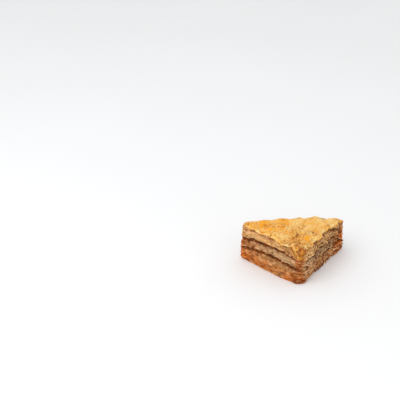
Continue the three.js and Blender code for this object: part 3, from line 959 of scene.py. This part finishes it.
# Lengths of the crust's wide, narrow and fine folds, and how far they wander sideways.
WIDE_FOLD, NARROW_FOLD, FINE_FOLD = 8.5, 3.8, 1.8
WIDE_STRETCH = np.array([0.8, 1.1, 1])
DRIFT = 2.8
DRIFT_HUMP = 8
# How far in from the cut edges strands run, and how far in the edges are baked.
STRAND_REACH = 8
RIM_REACH = 2.5


def triangle_grid(steps):
    """A triangular grid: corner weights of its points, and its triangles."""
    index = -np.ones((steps + 2, steps + 2), int)
    i, j = np.nonzero(np.add.outer(np.arange(steps + 1), np.arange(steps + 1)) <= steps)
    index[i, j] = np.arange(len(i))
    weights = np.column_stack([i, j, steps - i - j])
    up = np.column_stack([index[i, j], index[i + 1, j], index[i, j + 1]])
    down = np.column_stack([index[i + 1, j], index[i + 1, j + 1], index[i, j + 1]])
    faces = np.vstack([up, down])
    return weights, faces[(faces >= 0).all(axis=1)]


def grid_in_slice(weights, steps):
    """Where the grid's points lie: how far along the edge, and the share out to it."""
    shape = slice_shape()
    least = weights.min(axis=1)
    span = np.maximum(steps - 3 * least, 1)
    front, right, left = weights.T
    legs = [0, shape.right_at, shape.left_at, shape.girth]
    fractions = [(right - least) / span, (left - least) / span, (front - least) / span]
    opposite = [left, front, right]
    along = np.zeros(len(weights))
    done = np.zeros(len(weights), bool)
    for k in range(3):
        mine = (opposite[k] == least) & ~done
        along[mine] = mixed(legs[k], legs[k + 1], fractions[k][mine])
        done |= mine
    return along, 1 - 3 * least / steps


def peaked(points, length, seed):
    """Crests that rise sharply, like folds in thin paper."""
    return crests(points, length, seed) ** 1.6


def from_cut_edges(points):
    """For the left and then the right cut edge: how far along it and off it points lie."""
    shape = slice_shape()
    away = points[..., :2] - shape.outline[0]
    for corner_at in (shape.left_at, shape.right_at):
        run = shape.edge(corner_at)[0] - shape.outline[0]
        run = run / np.linalg.norm(run)
        yield away @ run, np.abs(away[..., 0] * run[1] - away[..., 1] * run[0])


def strands(points, seed):
    """Long narrow crests beside the two cut edges, and how strongly they show."""
    gaps, lines = [], []
    for k, (ahead, gap) in enumerate(from_cut_edges(points)):
        spot = np.stack([ahead / 9, gap / 2.1 + ahead / 20, np.zeros_like(gap)], axis=-1)
        lines.append(crests(spot, 1.0, seed + k) ** 1.3)
        gaps.append(gap)
    nearer_right = smoothly(gaps[0] - gaps[1], -5, 5)
    return mixed(*lines, nearer_right), np.exp(-((np.minimum(*gaps) / STRAND_REACH) ** 2))


def crust_relief(points):
    """Height of the crust's wrinkles and torn sheets, its crests and feet for painted highlight and
    shadow, and sheet tones.
    """
    size = sizes()
    flat = points.copy()
    flat[..., 2] = 0
    drift = np.zeros_like(flat)
    drift[..., 0] = DRIFT * layered(flat, DRIFT_HUMP, 41)
    drift[..., 1] = DRIFT * layered(flat, DRIFT_HUMP, 42)
    bent = flat + drift
    lines, beside = strands(flat + 0.5 * drift, 49)
    crinkled = 0.2 + 0.85 * np.maximum(patch("crinkled", points), 0.8 * beside)
    wide = peaked(bent * WIDE_STRETCH, WIDE_FOLD, 43)
    narrow = mixed(peaked(bent, NARROW_FOLD, 44), lines, beside)
    fine = peaked(bent, FINE_FOLD, 45)
    height = in_mm(size.wrinkle) * (0.2 + 0.8 * crinkled) * (wide - 0.3)
    height = height + crinkled * in_mm(size.crinkle) * (1.3 * narrow - 0.4 + 0.12 * fine)
    # Crests and torn lips, which the tones paint with a highlight.
    crest = np.maximum(0.7 * wide**2, crinkled * narrow**1.5)
    foot_shadow = np.zeros_like(height)
    sheet = np.zeros_like(height)
    jag = 0.1 * layered(flat, 2.2, 50)
    for length, seed in TEARS:
        torn = layered(flat + 0.4 * drift, length, seed) + jag
        above = smoothly(torn, -0.015, 0.015)
        lip = np.exp(-(((torn - 0.03) / 0.035) ** 2))
        height += SHEET_STEP * (above - 0.5) + LIP * lip * (0.6 + 0.8 * narrow)
        # A painted shadow line at the base of each torn sheet's step.
        foot_shadow = np.maximum(foot_shadow, np.exp(-(((torn + 0.04) / 0.04) ** 2)))
        crest = np.maximum(crest, 0.7 * lip)
        sheet += (above - 0.5) * (1 if seed % 2 else -1)
    return height, crest, foot_shadow, sheet


def crust_tones(points, height, crest, foot_shadow, sheet):
    """Paleness and brownness over the crust, with painted highlight on crests and painted shade in
    creases and sheet feet.
    """
    cloud = layered(points, 11, 51)
    streak = layered(points * np.array([1.0, 0.6, 1]), 2.6, 52)
    rim = edge_nearness(points)
    toasted = patch("brown", points)
    brown = toasted * (1.1 + 0.8 * streak) + 0.28 * rim * (0.7 + streak)
    crinkled = patch("crinkled", points)
    # Painted shadow at the feet of the torn sheets, strongest where crinkled.
    brown = brown + (0.1 + 0.75 * crinkled) * foot_shadow + 0.1 * streak
    # Browner low in the relief: painted shade in the creases, with syrup that collects there.
    brown = brown + (0.12 + 0.95 * crinkled) * smoothly(-height, 0.0, 0.55)
    # Crests lose their brown and grow paler: a painted highlight on the folds.
    brown = brown * (1 - 0.6 * patch("pale", points)) * (1 - 0.9 * smoothly(crest, 0.35, 0.8))
    pale = 0.36 + 0.4 * patch("pale", points) - 0.55 * patch("gold", points) + 0.25 * cloud
    pale = pale + (0.75 + 0.7 * crinkled) * smoothly(crest, 0.4, 0.9) + 0.15 * sheet + 0.15 * streak
    return {"pale": pale, "brown": brown}


def edge_nearness(points):
    """1 at the crust's cut edges, fading over a few millimetres inwards."""
    gap = np.minimum(*(gap for _, gap in from_cut_edges(points)))
    return np.exp(-((gap / RIM_REACH) ** 2))


def crust_solid():
    """The baked sheets: a fine wrinkled top, a thin ragged wall and a plain underside."""
    shape, size = slice_shape(), sizes()
    name = "phyllo_top"
    weights, top_faces = triangle_grid(CRUST_STEPS)
    along, share = grid_in_slice(weights, CRUST_STEPS)
    point, outward = shape.edge(along)
    point = point + outward * shape.offset(name, along, 1.0)[:, None]
    ragged = 0.35 * layered(np.column_stack([point, 0 * along]), 2.2, 61)
    point = point + outward * ragged[:, None]
    plan = mixed(shape.middle, point, share[:, None])
    top = np.column_stack([plan, shape.roofs[name](plan)])
    relief, crest, foot_shadow, sheet = crust_relief(top)
    top[:, 2] += relief * smoothly(1 - share, -0.02, 0.05)
    tones = crust_tones(top, relief, crest, foot_shadow, sheet)
    rim = np.nonzero(weights.min(axis=1) == 0)[0]
    rim = rim[np.argsort(along[rim], kind="stable")]
    edge_point, edge_out = shape.edge(along[rim])
    unevenness = layered(np.column_stack([edge_point, 0 * along[rim]]), 4, 62)
    depth = np.maximum(in_mm(size.crust_thickness) * (1.2 + 1.1 * unevenness), LEAST_CRUST)
    rows = []
    for drop, inset in CRUST_WALL:
        ring = top[rim].copy()
        ring[:, :2] -= inset * edge_out
        level = shape.roofs[name](ring) if inset > 1 else ring[:, 2]
        ring[:, 2] = level - depth * drop
        rows.append(ring)
    vertices = np.vstack([top, *rows, rows[-1].mean(axis=0)])
    numbers = len(top) + np.arange(len(rows) * len(rim)).reshape(len(rows), -1)
    wall = [band(upper, lower) for upper, lower in itertools.pairwise([rim, *numbers])]
    cap = fan(len(vertices) - 1, numbers[-1])[:, ::-1]
    faces = np.vstack([turned_up(top, top_faces), *wall, cap])
    tones = {
        title: np.concatenate([values, *[values[rim] for _ in rows], [0.3]])
        for title, values in tones.items()
    }
    return vertices, faces, tones


def turned_up(vertices, faces):
    """Triangles turned so that all of them face up."""
    a, b, c = (vertices[faces[:, k]] for k in range(3))
    up = np.cross(b - a, c - a)[:, 2] > 0
    return np.where(up[:, None], faces, faces[:, ::-1])


# ---- Flakes --------------------------------------------------------------------------

# How gently a sheet bends over the crust's edge.
EDGE_SOFTNESS = 2.0
FLAKE_THICKNESS = 0.2
# A torn outline has at least the first number of corners, and fewer than the second.
FLAKE_CORNERS = (9, 15)
# Flakes whose middle lies further in than this count as lying on the top.
FLAKE_INNER = 3.5
# Lifts on the top are turned by this share of a full turn from one to the next.
GOLDEN_SHARE = 0.618
# Rings and spokes of a flake and of a shard.
FLAKE_GRID = (14, 40)
SHARD_GRID = (8, 24)
# Seeds of single shards and curls are counted on from these.
FIRST_SHARD, FIRST_CURL = 100, 300
# The share of the shards that lie along the two cut edges at the front.
FRONT_SHARDS = 0.72
# Ranges of half sizes and lifts, in millimetres, of shards and of curls.
SHARD_WIDTHS, SHARD_LENGTHS, SHARD_LIFTS = (0.8, 2.6), (0.7, 1.8), (0.1, 0.5)
CURL_WIDTHS, CURL_LENGTHS, CURL_LIFTS = (0.7, 1.4), (1.5, 4.0), (0.4, 1.3)
# Curls lie no further in than this, and within this share of the two cut edges.
CURLS_INNER = 24
CURLS_ALONG = 0.8


def softened(value):
    """Never negative, and close to value where value is large: it rounds a sheet's bend."""
    return (value + np.hypot(value, EDGE_SOFTNESS)) / 2


def over_edge(along, past, depth):
    """Points on a sheet that lies on the crust and bends down over its cut edge."""
    shape = slice_shape()
    point, outward = shape.edge(along)
    point = point + outward * shape.offset("phyllo_top", along, shape.CRUST_LEVEL)[..., None]
    bend = (1 + past / np.hypot(past, EDGE_SOFTNESS)) / 2
    inward = softened(-past)
    place = point + outward * ((EDGE_SOFTNESS / 2 + depth) * bend - inward)[..., None]
    inner = point - outward * inward[..., None]
    relief = crust_relief(np.concatenate([inner, 0 * inward[..., None]], axis=-1))[0]
    top = shape.roofs["phyllo_top"](inner) + EDGE_SOFTNESS / 2 * bend
    top = top + relief * smoothly(inward, 0, 3)
    height = top - softened(past) + depth * (1 - bend)
    return np.concatenate([place, height[..., None]], axis=-1)


def torn_outline(turns, seed):
    """Sizes of a torn outline at each turn: straight tears between a few corners."""
    random = np.random.default_rng(seed)
    corners = np.sort(random.uniform(0, 2 * math.pi, random.integers(*FLAKE_CORNERS)))
    reach = random.uniform(0.55, 1.3, len(corners))
    return np.interp(turns, corners, reach, period=2 * math.pi)


def flake_sheet(flake, grid):
    """A thin torn sheet on the crust: closed, ragged, wrinkled, and curling at one side."""
    rows, count = grid
    spokes = np.arange(count) * 2 * math.pi / count
    ways = np.column_stack([np.cos(spokes), np.sin(spokes), np.full(count, flake.seed)])
    ragged = torn_outline(spokes, flake.seed) + 0.16 * layered(ways, 0.3, flake.seed)
    rings = np.linspace(0, 1, rows)[1:]
    past = flake.over - np.outer(rings, ragged * ways[:, 1]) * flake.half_length
    along = flake.at + np.outer(rings, ragged * ways[:, 0]) * flake.half_width
    along = along + flake.lean * (past - flake.over)
    spot = np.stack([along, past, np.full_like(along, 3.0 * flake.seed)], axis=-1)
    free = smoothly(np.cos(spokes - free_way(flake)), -0.5, 0.6)
    free = free * smoothly(rings, 0.3, 1)[:, None]
    curl = flake.lift * free * (1 + 1.2 * layered(spot, 3, 71))
    depth = 0.1 + curl + 0.2 * peaked(spot * np.array([1, 0.5, 1]), 1.7, 72)
    sheets = []
    for sink in (0, FLAKE_THICKNESS):
        centre = over_edge(np.array([flake.at]), np.array([flake.over]), np.array([0.15 - sink]))
        thin = sink * (1 - 0.6 * smoothly(rings, 0.7, 1))[:, None]
        body = over_edge(along, past, depth - thin)
        sheets.append(np.concatenate([centre, body.reshape(-1, 3)]))
    each = len(sheets[0])
    numbers = np.arange(1, each).reshape(len(rings), -1)
    bands = [band(outer, inner)[:, ::-1] for inner, outer in itertools.pairwise(numbers)]
    upper = np.vstack([fan(0, numbers[0]), *bands])
    wall = band(numbers[-1] + each, numbers[-1])[:, ::-1]
    vertices = np.concatenate(sheets)
    faces = np.vstack([upper, upper[:, ::-1] + each, wall])
    cloud = layered(vertices, 3, 73)
    streak = crests(vertices * np.array([1.2, 1.2, 0.4]), 1.6, 74)
    edge = np.tile(np.concatenate([[0], np.repeat(smoothly(rings, 0.75, 1), count)]), 2)
    tones = {
        "pale": 0.3 + 0.4 * streak - 0.5 * flake.brown + 0.2 * cloud + 0.3 * edge,
        "brown": flake.brown * (1.15 + 0.7 * cloud) - 0.45 * streak - 0.1 * edge,
    }
    return vertices, outward_facing(vertices, faces), tones


def free_way(flake):
    """The turn towards the side of a flake that lifts: outwards, or any way on the top."""
    if flake.over > -FLAKE_INNER:
        return -math.pi / 2
    return 2 * math.pi * math.modf(flake.seed * GOLDEN_SHARE)[0]


def edge_shards(count, seed):
    """Small torn shards along the two cut edges that face forward, and a few behind."""
    shape = slice_shape()
    random = np.random.default_rng(seed)
    shards = []
    for k in range(count):
        forward = random.random() < FRONT_SHARDS
        at = random.uniform(shape.left_at - shape.girth, shape.right_at)
        if not forward:
            at = random.uniform(shape.right_at, shape.left_at)
        near_front = math.exp(-((at / 9) ** 2))
        over = random.uniform(-3, 0.2) + 1.5 * near_front
        width = random.uniform(*SHARD_WIDTHS)
        length = random.uniform(*SHARD_LENGTHS) + 0.8 * near_front
        lift = random.uniform(*SHARD_LIFTS)
        brown = min(1.0, random.uniform(0, 0.7) + 0.5 * near_front)
        lean = random.uniform(-0.6, 0.6)
        shards.append(Flake(at, over, width, length, lift, brown, FIRST_SHARD + k, lean))
    return shards


def top_curls(count, seed):
    """Curled shards on top of the crust, most of them where it is crinkled."""
    shape = slice_shape()
    random = np.random.default_rng(seed)
    curls = []
    while len(curls) < count:
        left = shape.left_at - shape.girth
        at = random.uniform(CURLS_ALONG * left, CURLS_ALONG * shape.right_at)
        over = -random.uniform(FLAKE_INNER, CURLS_INNER)
        point, outward = shape.edge(at)
        place = np.array([*(point + outward * over), 0.0])
        crinkled = float(patch("crinkled", place))
        if random.random() < 0.12 + 0.88 * crinkled:
            width, length = random.uniform(*CURL_WIDTHS), random.uniform(*CURL_LENGTHS)
            if random.random() < 0.5:
                width, length = length, width
            lift = random.uniform(*CURL_LIFTS)
            brown = 0.5 * float(patch("brown", place)) + random.uniform(0, 0.2)
            own_seed = FIRST_CURL + len(curls)
            curls.append(Flake(at, over, width, length, lift, brown, own_seed))
    return curls


# ---- Materials -----------------------------------------------------------------------

# Scales of the fine patterns, in humps per metre.
STRATA_SCALE = (280, 280, 2400)
CRUMB_SCALE = 1300
PORE_SCALE = 800
POOL_SCALE = 260
BLOTCH_SCALE = 300
SPECK_SCALE = 900
# How rough the food is where it is dry, and how much smoother a full film of syrup is.
DRY_ROUGHNESS, SYRUP_SMOOTHING = 0.72, 0.42
# How high the grain stands, in metres.
LEAF_GRAIN, CRUST_GRAIN, NUT_GRAIN = 0.00025, 0.00015, 0.0003
CRUST_WETNESS, NUT_WETNESS = 0.45, 0.25
# What the darkest leaves and the darkest crust are multiplied by; their darkness adds painted shade
# in the grain's grooves and pores to darker tones.
LEAF_SHADE = (0.4, 0.25, 0.15)
CRUST_SHADE = (0.8, 0.5, 0.2)


def new_group(name, inputs, outputs):
    """An empty shader node group with number inputs and the given outputs."""
    group = bpy.data.node_groups.new(name, "ShaderNodeTree")
    for title, default in inputs.items():
        socket = group.interface.new_socket(title, in_out="INPUT", socket_type="NodeSocketFloat")
        socket.default_value = default
    for title, kind in outputs.items():
        group.interface.new_socket(title, in_out="OUTPUT", socket_type=kind)
    return group, group.nodes.new("NodeGroupInput"), group.nodes.new("NodeGroupOutput")


def noise_node(tree, vector, scale, detail=3.0, roughness=0.55):
    node = tree.nodes.new("ShaderNodeTexNoise")
    node.inputs["Detail"].default_value = detail
    node.inputs["Roughness"].default_value = roughness
    node.inputs["Scale"].default_value = scale
    tree.links.new(vector, node.inputs["Vector"])
    return node.outputs["Fac"]


def stretched(tree, vector, scale):
    node = tree.nodes.new("ShaderNodeVectorMath")
    node.operation = "MULTIPLY"
    node.inputs[1].default_value = scale
    tree.links.new(vector, node.inputs[0])
    return node.outputs[0]


def math_node(tree, operation, a, b):
    node = tree.nodes.new("ShaderNodeMath")
    node.operation = operation
    for socket, value in zip(node.inputs, (a, b)):
        if isinstance(value, (int, float)):
            socket.default_value = value
        else:
            tree.links.new(value, socket)
    return node.outputs[0]


def ranged(tree, value, low, high, to_low=0.0, to_high=1.0):
    node = tree.nodes.new("ShaderNodeMapRange")
    node.interpolation_type = "SMOOTHSTEP"
    limits = {"From Min": low, "From Max": high, "To Min": to_low, "To Max": to_high}
    for title, number in limits.items():
        node.inputs[title].default_value = number
    tree.links.new(value, node.inputs["Value"])
    return node.outputs["Result"]


def mix_colour(tree, share, a, b, blend="MIX"):
    """A mix of two colours. The share and the colours are sockets or plain values."""
    node = tree.nodes.new("ShaderNodeMix")
    node.data_type = "RGBA"
    node.blend_type = blend
    for socket, value in ((node.inputs[0], share), (node.inputs[6], a), (node.inputs[7], b)):
        if isinstance(value, (int, float)):
            socket.default_value = value
        elif isinstance(value, bpy.types.NodeSocket):
            tree.links.new(value, socket)
        else:
            socket.default_value = (*value, 1)
    return node.outputs[2]


def attribute(tree, name):
    node = tree.nodes.new("ShaderNodeAttribute")
    node.attribute_name = name
    return node.outputs["Fac"]


@cache
def pastry_grain():
    """Group: fine lamination along the leaves, crumbly grain and small pores, with painted shade in
    the lamination grooves and pores.
    """
    group, given, result = new_group(
        "Pastry grain",
        {"Laminate": 1.0, "Crumb": 1.0, "Pores": 1.0},
        {"Height": "NodeSocketFloat", "Painted shade": "NodeSocketFloat"},
    )
    place = group.nodes.new("ShaderNodeTexCoord").outputs["Object"]
    strata = noise_node(group, stretched(group, place, STRATA_SCALE), 1.0, 4)
    crumb = noise_node(group, place, CRUMB_SCALE, 4, 0.65)
    pores = ranged(group, noise_node(group, place, PORE_SCALE, 2), 0.3, 0.44, 1, 0)
    pores = math_node(group, "MULTIPLY", pores, given.outputs["Pores"])
    laminated = math_node(group, "MULTIPLY", strata, given.outputs["Laminate"])
    crumbly = math_node(group, "MULTIPLY", crumb, given.outputs["Crumb"])
    height = math_node(group, "ADD", laminated, crumbly)
    height = math_node(group, "SUBTRACT", height, math_node(group, "MULTIPLY", pores, 0.5))
    group.links.new(height, result.inputs["Height"])
    # Painted shade where the relief is low: in the grooves between the laminations and in the
    # pores.
    lines = ranged(group, strata, 0.3, 0.6, 0.4, 0)
    lines = math_node(group, "MULTIPLY", lines, given.outputs["Laminate"])
    dark = math_node(group, "ADD", lines, math_node(group, "MULTIPLY", pores, 0.35))
    group.links.new(dark, result.inputs["Painted shade"])
    return group


@cache
def syrup_film():
    """Group: where syrup lies as a wet film, as a coat mask and a roughness."""
    group, given, result = new_group(
        "Syrup film",
        {"Wetness": 0.5},
        {"Coat": "NodeSocketFloat", "Roughness": "NodeSocketFloat"},
    )
    place = group.nodes.new("ShaderNodeTexCoord").outputs["Object"]
    pools = noise_node(group, place, POOL_SCALE)
    wet = ranged(group, pools, 0.35, 0.62)
    coat = math_node(group, "MULTIPLY", wet, given.outputs["Wetness"])
    group.links.new(coat, result.inputs["Coat"])
    smoother = math_node(group, "MULTIPLY", coat, SYRUP_SMOOTHING)
    rough = math_node(group, "SUBTRACT", DRY_ROUGHNESS, smoother)
    group.links.new(rough, result.inputs["Roughness"])
    return group


def group_node(tree, group, **values):
    node = tree.nodes.new("ShaderNodeGroup")
    node.node_tree = group
    for title, value in values.items():
        node.inputs[title].default_value = value
    return node


def new_material(name, **constants):
    material = bpy.data.materials.new(name)
    material.use_nodes = True
    tree = material.node_tree
    shader = tree.nodes["Principled BSDF"]
    for title, value in constants.items():
        shader.inputs[title.replace("_", " ")].default_value = value
    return material, tree, shader


def new_food(name, **constants):
    return new_material(name, IOR=1.4, **constants)


def finish_food(tree, shader, base, grain, wetness, grain_height):
    """Joins a food's colour, its film of syrup and its grain as relief to its shader."""
    tree.links.new(base, shader.inputs["Base Color"])
    film = group_node(tree, syrup_film(), Wetness=wetness)
    tree.links.new(film.outputs["Coat"], shader.inputs["Coat Weight"])
    tree.links.new(film.outputs["Roughness"], shader.inputs["Roughness"])
    bump = tree.nodes.new("ShaderNodeBump")
    bump.inputs["Distance"].default_value = grain_height
    bump.inputs["Strength"].default_value = 1.0
    tree.links.new(grain.outputs["Height"], bump.inputs["Height"])
    tree.links.new(bump.outputs["Normal"], shader.inputs["Normal"])


def darkened(tree, colour, darkness, tint):
    """A colour multiplied by a warm tint as far as the darkness says."""
    return mix_colour(tree, 1.0, colour, mix_colour(tree, darkness, (1, 1, 1), tint), "MULTIPLY")


def leaf_material(name, own_colour, wetness):
    """Cut leaves: pale, soaked, toasted or dusted with nuts, by the mesh's own tones; toasted also
    paints shadow under the crust's edge.
    """
    colour = colours()
    material, tree, shader = new_food(name, Coat_Roughness=0.15, Specular_IOR_Level=0.15)
    base = mix_colour(tree, attribute(tree, "soak"), own_colour, colour.soaked_leaf)
    base = mix_colour(tree, attribute(tree, "toast_and_shadow"), base, colour.toasted_and_shadowed_leaf)
    base = mix_colour(tree, attribute(tree, "dust"), base, colour.nut_dust)
    grain = group_node(tree, pastry_grain(), Laminate=0.5, Crumb=0.8, Pores=0.6)
    light = attribute(tree, "tone")
    base = mix_colour(tree, ranged(tree, light, 0.66, 1.0, 0, 0.6), base, colour.leaf_fleck)
    between = ranged(tree, light, 0, 0.65, 0.9, 0)
    darkness = math_node(tree, "ADD", grain.outputs["Painted shade"], between)
    base = darkened(tree, base, darkness, LEAF_SHADE)
    finish_food(tree, shader, base, grain, wetness, LEAF_GRAIN)
    return material


def crust_material(name):
    """Baked sheets: pale crests as painted highlight, gold between them, brown where toasted and as
    painted shade in creases, under syrup.
    """
    colour = colours()
    material, tree, shader = new_food(name, Coat_Roughness=0.12, Specular_IOR_Level=0.2)
    place = tree.nodes.new("ShaderNodeTexCoord").outputs["Object"]
    blotch = math_node(tree, "MULTIPLY", noise_node(tree, place, BLOTCH_SCALE, 4, 0.6), 0.3)
    blotch = math_node(tree, "SUBTRACT", blotch, 0.15)
    pale = math_node(tree, "ADD", attribute(tree, "pale"), blotch)
    base = mix_colour(tree, pale, colour.crust_gold, colour.crust_pale_and_highlight)
    # The crest colour where the paleness runs highest: a painted highlight.
    base = mix_colour(tree, ranged(tree, pale, 1.0, 1.6), base, colour.crust_crest_highlight)
    speck = ranged(tree, noise_node(tree, place, SPECK_SCALE, 2), 0.62, 0.8, 0, 0.12)
    brown = math_node(tree, "ADD", attribute(tree, "brown"), speck)
    base = mix_colour(tree, ranged(tree, brown, 0.0, 1.2), base, colour.crust_brown_and_shade)
    grain = group_node(tree, pastry_grain(), Laminate=0.1, Crumb=0.6, Pores=0.2)
    base = darkened(tree, base, grain.outputs["Painted shade"], CRUST_SHADE)
    finish_food(tree, shader, base, grain, CRUST_WETNESS, CRUST_GRAIN)
    return material


def nut_material(name, palest):
    """Ground nuts and crumbs: dark skins to pale flesh, with a rough broken face."""
    colour = colours()
    material, tree, shader = new_food(name, Coat_Roughness=0.2, Specular_IOR_Level=0.15)
    tone = attribute(tree, "tone")
    base = mix_colour(tree, ranged(tree, tone, 0.05, 0.4), colour.nut_dark, colour.nut_mid)
    base = mix_colour(tree, ranged(tree, tone, 0.5, 0.85), base, palest)
    grain = group_node(tree, pastry_grain(), Laminate=0.0, Crumb=1.0, Pores=1.0)
    base = darkened(tree, base, grain.outputs["Painted shade"], LEAF_SHADE)
    finish_food(tree, shader, base, grain, NUT_WETNESS, NUT_GRAIN)
    return material


def floor_material():
    material, tree, shader = new_material("studio_floor", Roughness=0.9)
    place = tree.nodes.new("ShaderNodeTexCoord").outputs["Object"]
    cloud = ranged(tree, noise_node(tree, place, 3.0), 0.3, 0.7)
    tree.links.new(mix_colour(tree, cloud, *FLOOR_COLOURS), shader.inputs["Base Color"])
    return material


# ---- Operators -----------------------------------------------------------------------

NUT_LAYERS = {"lower_nuts": ("nut_lower", 5), "upper_nuts": ("nut_upper", 6)}
SHARD_SEED, CURL_SEED, CRUMB_SEED = 81, 82, 91


class BAKLAVA_OT_leaves(bpy.types.Operator):
    """Lay the leaves of the three pastry stacks"""

    bl_idname = "baklava.leaves"
    bl_label = "Leaves"

    def execute(self, context):
        size, colour = sizes(), colours()
        stacks = [
            ("bottom_leaves", "phyllo_bottom", size.bottom_leaves, colour.bottom_leaf, 0.25, 11),
            ("middle_leaves", "phyllo_middle", size.middle_leaves, colour.middle_leaf, 0.15, 23),
            ("upper_leaves", "phyllo_top", size.upper_leaves, colour.upper_leaf, 0.1, 37),
        ]
        for name, node, count, own_colour, wetness, seed in stacks:
            vertices, faces, tones = dressed_stack(node, count, seed)
            material = leaf_material(name, own_colour, wetness)
            make_piece(name, vertices, faces, material, [node], tones)
        return {"FINISHED"}


class BAKLAVA_OT_nuts(bpy.types.Operator):
    """Press the ground nuts into their two layers"""

    bl_idname = "baklava.nuts"
    bl_label = "Nuts"

    def execute(self, context):
        material = nut_material("ground_nuts", colours().nut_pale)
        for name, (node, seed) in NUT_LAYERS.items():
            vertices, faces, tones = nut_layer(node, seed)
            make_piece(name, vertices, faces, material, [node], tones, smooth=False)
        return {"FINISHED"}


class BAKLAVA_OT_crust(bpy.types.Operator):
    """Bake the wrinkled crust"""

    bl_idname = "baklava.crust"
    bl_label = "Crust"

    def execute(self, context):
        vertices, faces, tones = crust_solid()
        material = crust_material("baked_crust")
        make_piece("crust", vertices, faces, material, ["phyllo_top"], tones)
        return {"FINISHED"}


class BAKLAVA_OT_flakes(bpy.types.Operator):
    """Drape torn flakes over the cut edges"""

    bl_idname = "baklava.flakes"
    bl_label = "Flakes"

    def execute(self, context):
        small = edge_shards(sizes().shards, SHARD_SEED) + top_curls(sizes().curls, CURL_SEED)
        sheets = [flake_sheet(flake, FLAKE_GRID) for flake in FLAKES]
        sheets += [flake_sheet(flake, SHARD_GRID) for flake in small]
        vertices, faces, tones = joined(sheets)
        material = crust_material("crust_flakes")
        make_piece("flakes", vertices, faces, material, ["phyllo_top"], tones)
        return {"FINISHED"}


class BAKLAVA_OT_crumbs(bpy.types.Operator):
    """Stick crumbs to the cut sides"""

    bl_idname = "baklava.crumbs"
    bl_label = "Crumbs"

    def execute(self, context):
        vertices, faces, tones = all_crumbs(sizes().crumbs, CRUMB_SEED)
        material = nut_material("crumbs", colours().leaf_fleck)
        make_piece("crumbs", vertices, faces, material, STACKS, tones, smooth=False)
        return {"FINISHED"}


# The camera's place in millimetres, its turn in degrees and its lens in millimetres.
CAMERA_PLACE = (-147.97, -500.31, 374.0)
CAMERA_HEADING, CAMERA_PITCH, CAMERA_ROLL = 6.85, 30.45, -1.1
CAMERA_LENS = 62.73
# The stage, in metres: half the floor's width, and the places and powers of the lamps, which
# face a point over the floor.
FLOOR_HALF = 6.0
FLOOR_COLOURS = ((0.915, 0.922, 0.93), (0.93, 0.937, 0.945))
WORLD_STRENGTH = 0.82
LAMPS = {"key": ((-0.6, -0.3, 0.9), 4.2), "fill": ((0.8, -0.7, 0.6), 0.4)}
LAMP_SIZE = 0.9
LAMP_AIM = (0, 0, 0.02)


class BAKLAVA_OT_stage(bpy.types.Operator):
    """Set up the floor, the lights and the camera"""

    bl_idname = "baklava.stage"
    bl_label = "Stage"

    def execute(self, context):
        self.add_floor()
        self.add_world()
        for name, (place, power) in LAMPS.items():
            self.add_lamp(name, place, power)
        self.add_camera()
        context.scene.view_settings.view_transform = "Standard"
        return {"FINISHED"}

    def add_floor(self):
        mesh = bpy.data.meshes.new("floor")
        corners = [(-1, -1, 0), (1, -1, 0), (1, 1, 0), (-1, 1, 0)]
        mesh.from_pydata([FLOOR_HALF * Vector(corner) for corner in corners], [], [(0, 1, 2, 3)])
        mesh.materials.append(floor_material())
        floor = bpy.data.objects.new("floor", mesh)
        bpy.context.scene.collection.objects.link(floor)

    def add_world(self):
        world = bpy.data.worlds.new("studio")
        world.use_nodes = True
        background = world.node_tree.nodes["Background"]
        background.inputs["Color"].default_value = (1, 1, 1, 1)
        background.inputs["Strength"].default_value = WORLD_STRENGTH
        bpy.context.scene.world = world

    def add_lamp(self, name, place, power):
        data = bpy.data.lights.new(name, "AREA")
        data.shape = "DISK"
        data.size = LAMP_SIZE
        data.energy = power
        lamp = bpy.data.objects.new(name, data)
        lamp.location = place
        aim = Vector(LAMP_AIM) - Vector(place)
        lamp.rotation_euler = aim.to_track_quat("-Z", "Y").to_euler()
        bpy.context.scene.collection.objects.link(lamp)

    def add_camera(self):
        data = bpy.data.cameras.new("camera")
        data.lens = CAMERA_LENS
        data.clip_start = 0.01
        camera = bpy.data.objects.new("camera", data)
        turn = (
            Matrix.Rotation(-math.radians(CAMERA_HEADING), 4, "Z")
            @ Matrix.Rotation(math.radians(90 - CAMERA_PITCH), 4, "X")
            @ Matrix.Rotation(math.radians(CAMERA_ROLL), 4, "Z")
        )
        camera.matrix_world = Matrix.Translation(Vector(CAMERA_PLACE) * MM) @ turn
        bpy.context.scene.collection.objects.link(camera)
        bpy.context.scene.camera = camera


class BAKLAVA_PT_panel(bpy.types.Panel):
    """The slice's pieces, sizes and colours"""

    bl_idname = "BAKLAVA_PT_panel"
    bl_label = "Baklava"
    bl_space_type = "VIEW_3D"
    bl_region_type = "UI"
    bl_category = "Baklava"

    def draw(self, context):
        for operator in OPERATORS:
            self.layout.operator(operator.bl_idname)
        for group in (sizes(), colours()):
            for title in group.__annotations__:
                self.layout.prop(group, title)


OPERATORS = [
    BAKLAVA_OT_leaves,
    BAKLAVA_OT_nuts,
    BAKLAVA_OT_crust,
    BAKLAVA_OT_flakes,
    BAKLAVA_OT_crumbs,
    BAKLAVA_OT_stage,
]
CLASSES = [BaklavaSizes, BaklavaColours, *OPERATORS, BAKLAVA_PT_panel]


def register():
    for item in CLASSES:
        bpy.utils.register_class(item)
    bpy.types.Scene.baklava_sizes = PointerProperty(type=BaklavaSizes)
    bpy.types.Scene.baklava_colours = PointerProperty(type=BaklavaColours)


def unregister():
    del bpy.types.Scene.baklava_colours
    del bpy.types.Scene.baklava_sizes
    for item in reversed(CLASSES):
        bpy.utils.unregister_class(item)


def main():
    """Makes every piece and the stage."""
    register()
    bpy.ops.baklava.leaves()
    bpy.ops.baklava.nuts()
    bpy.ops.baklava.crust()
    bpy.ops.baklava.flakes()
    bpy.ops.baklava.crumbs()
    bpy.ops.baklava.stage()


if __name__ == "__main__":
    main()
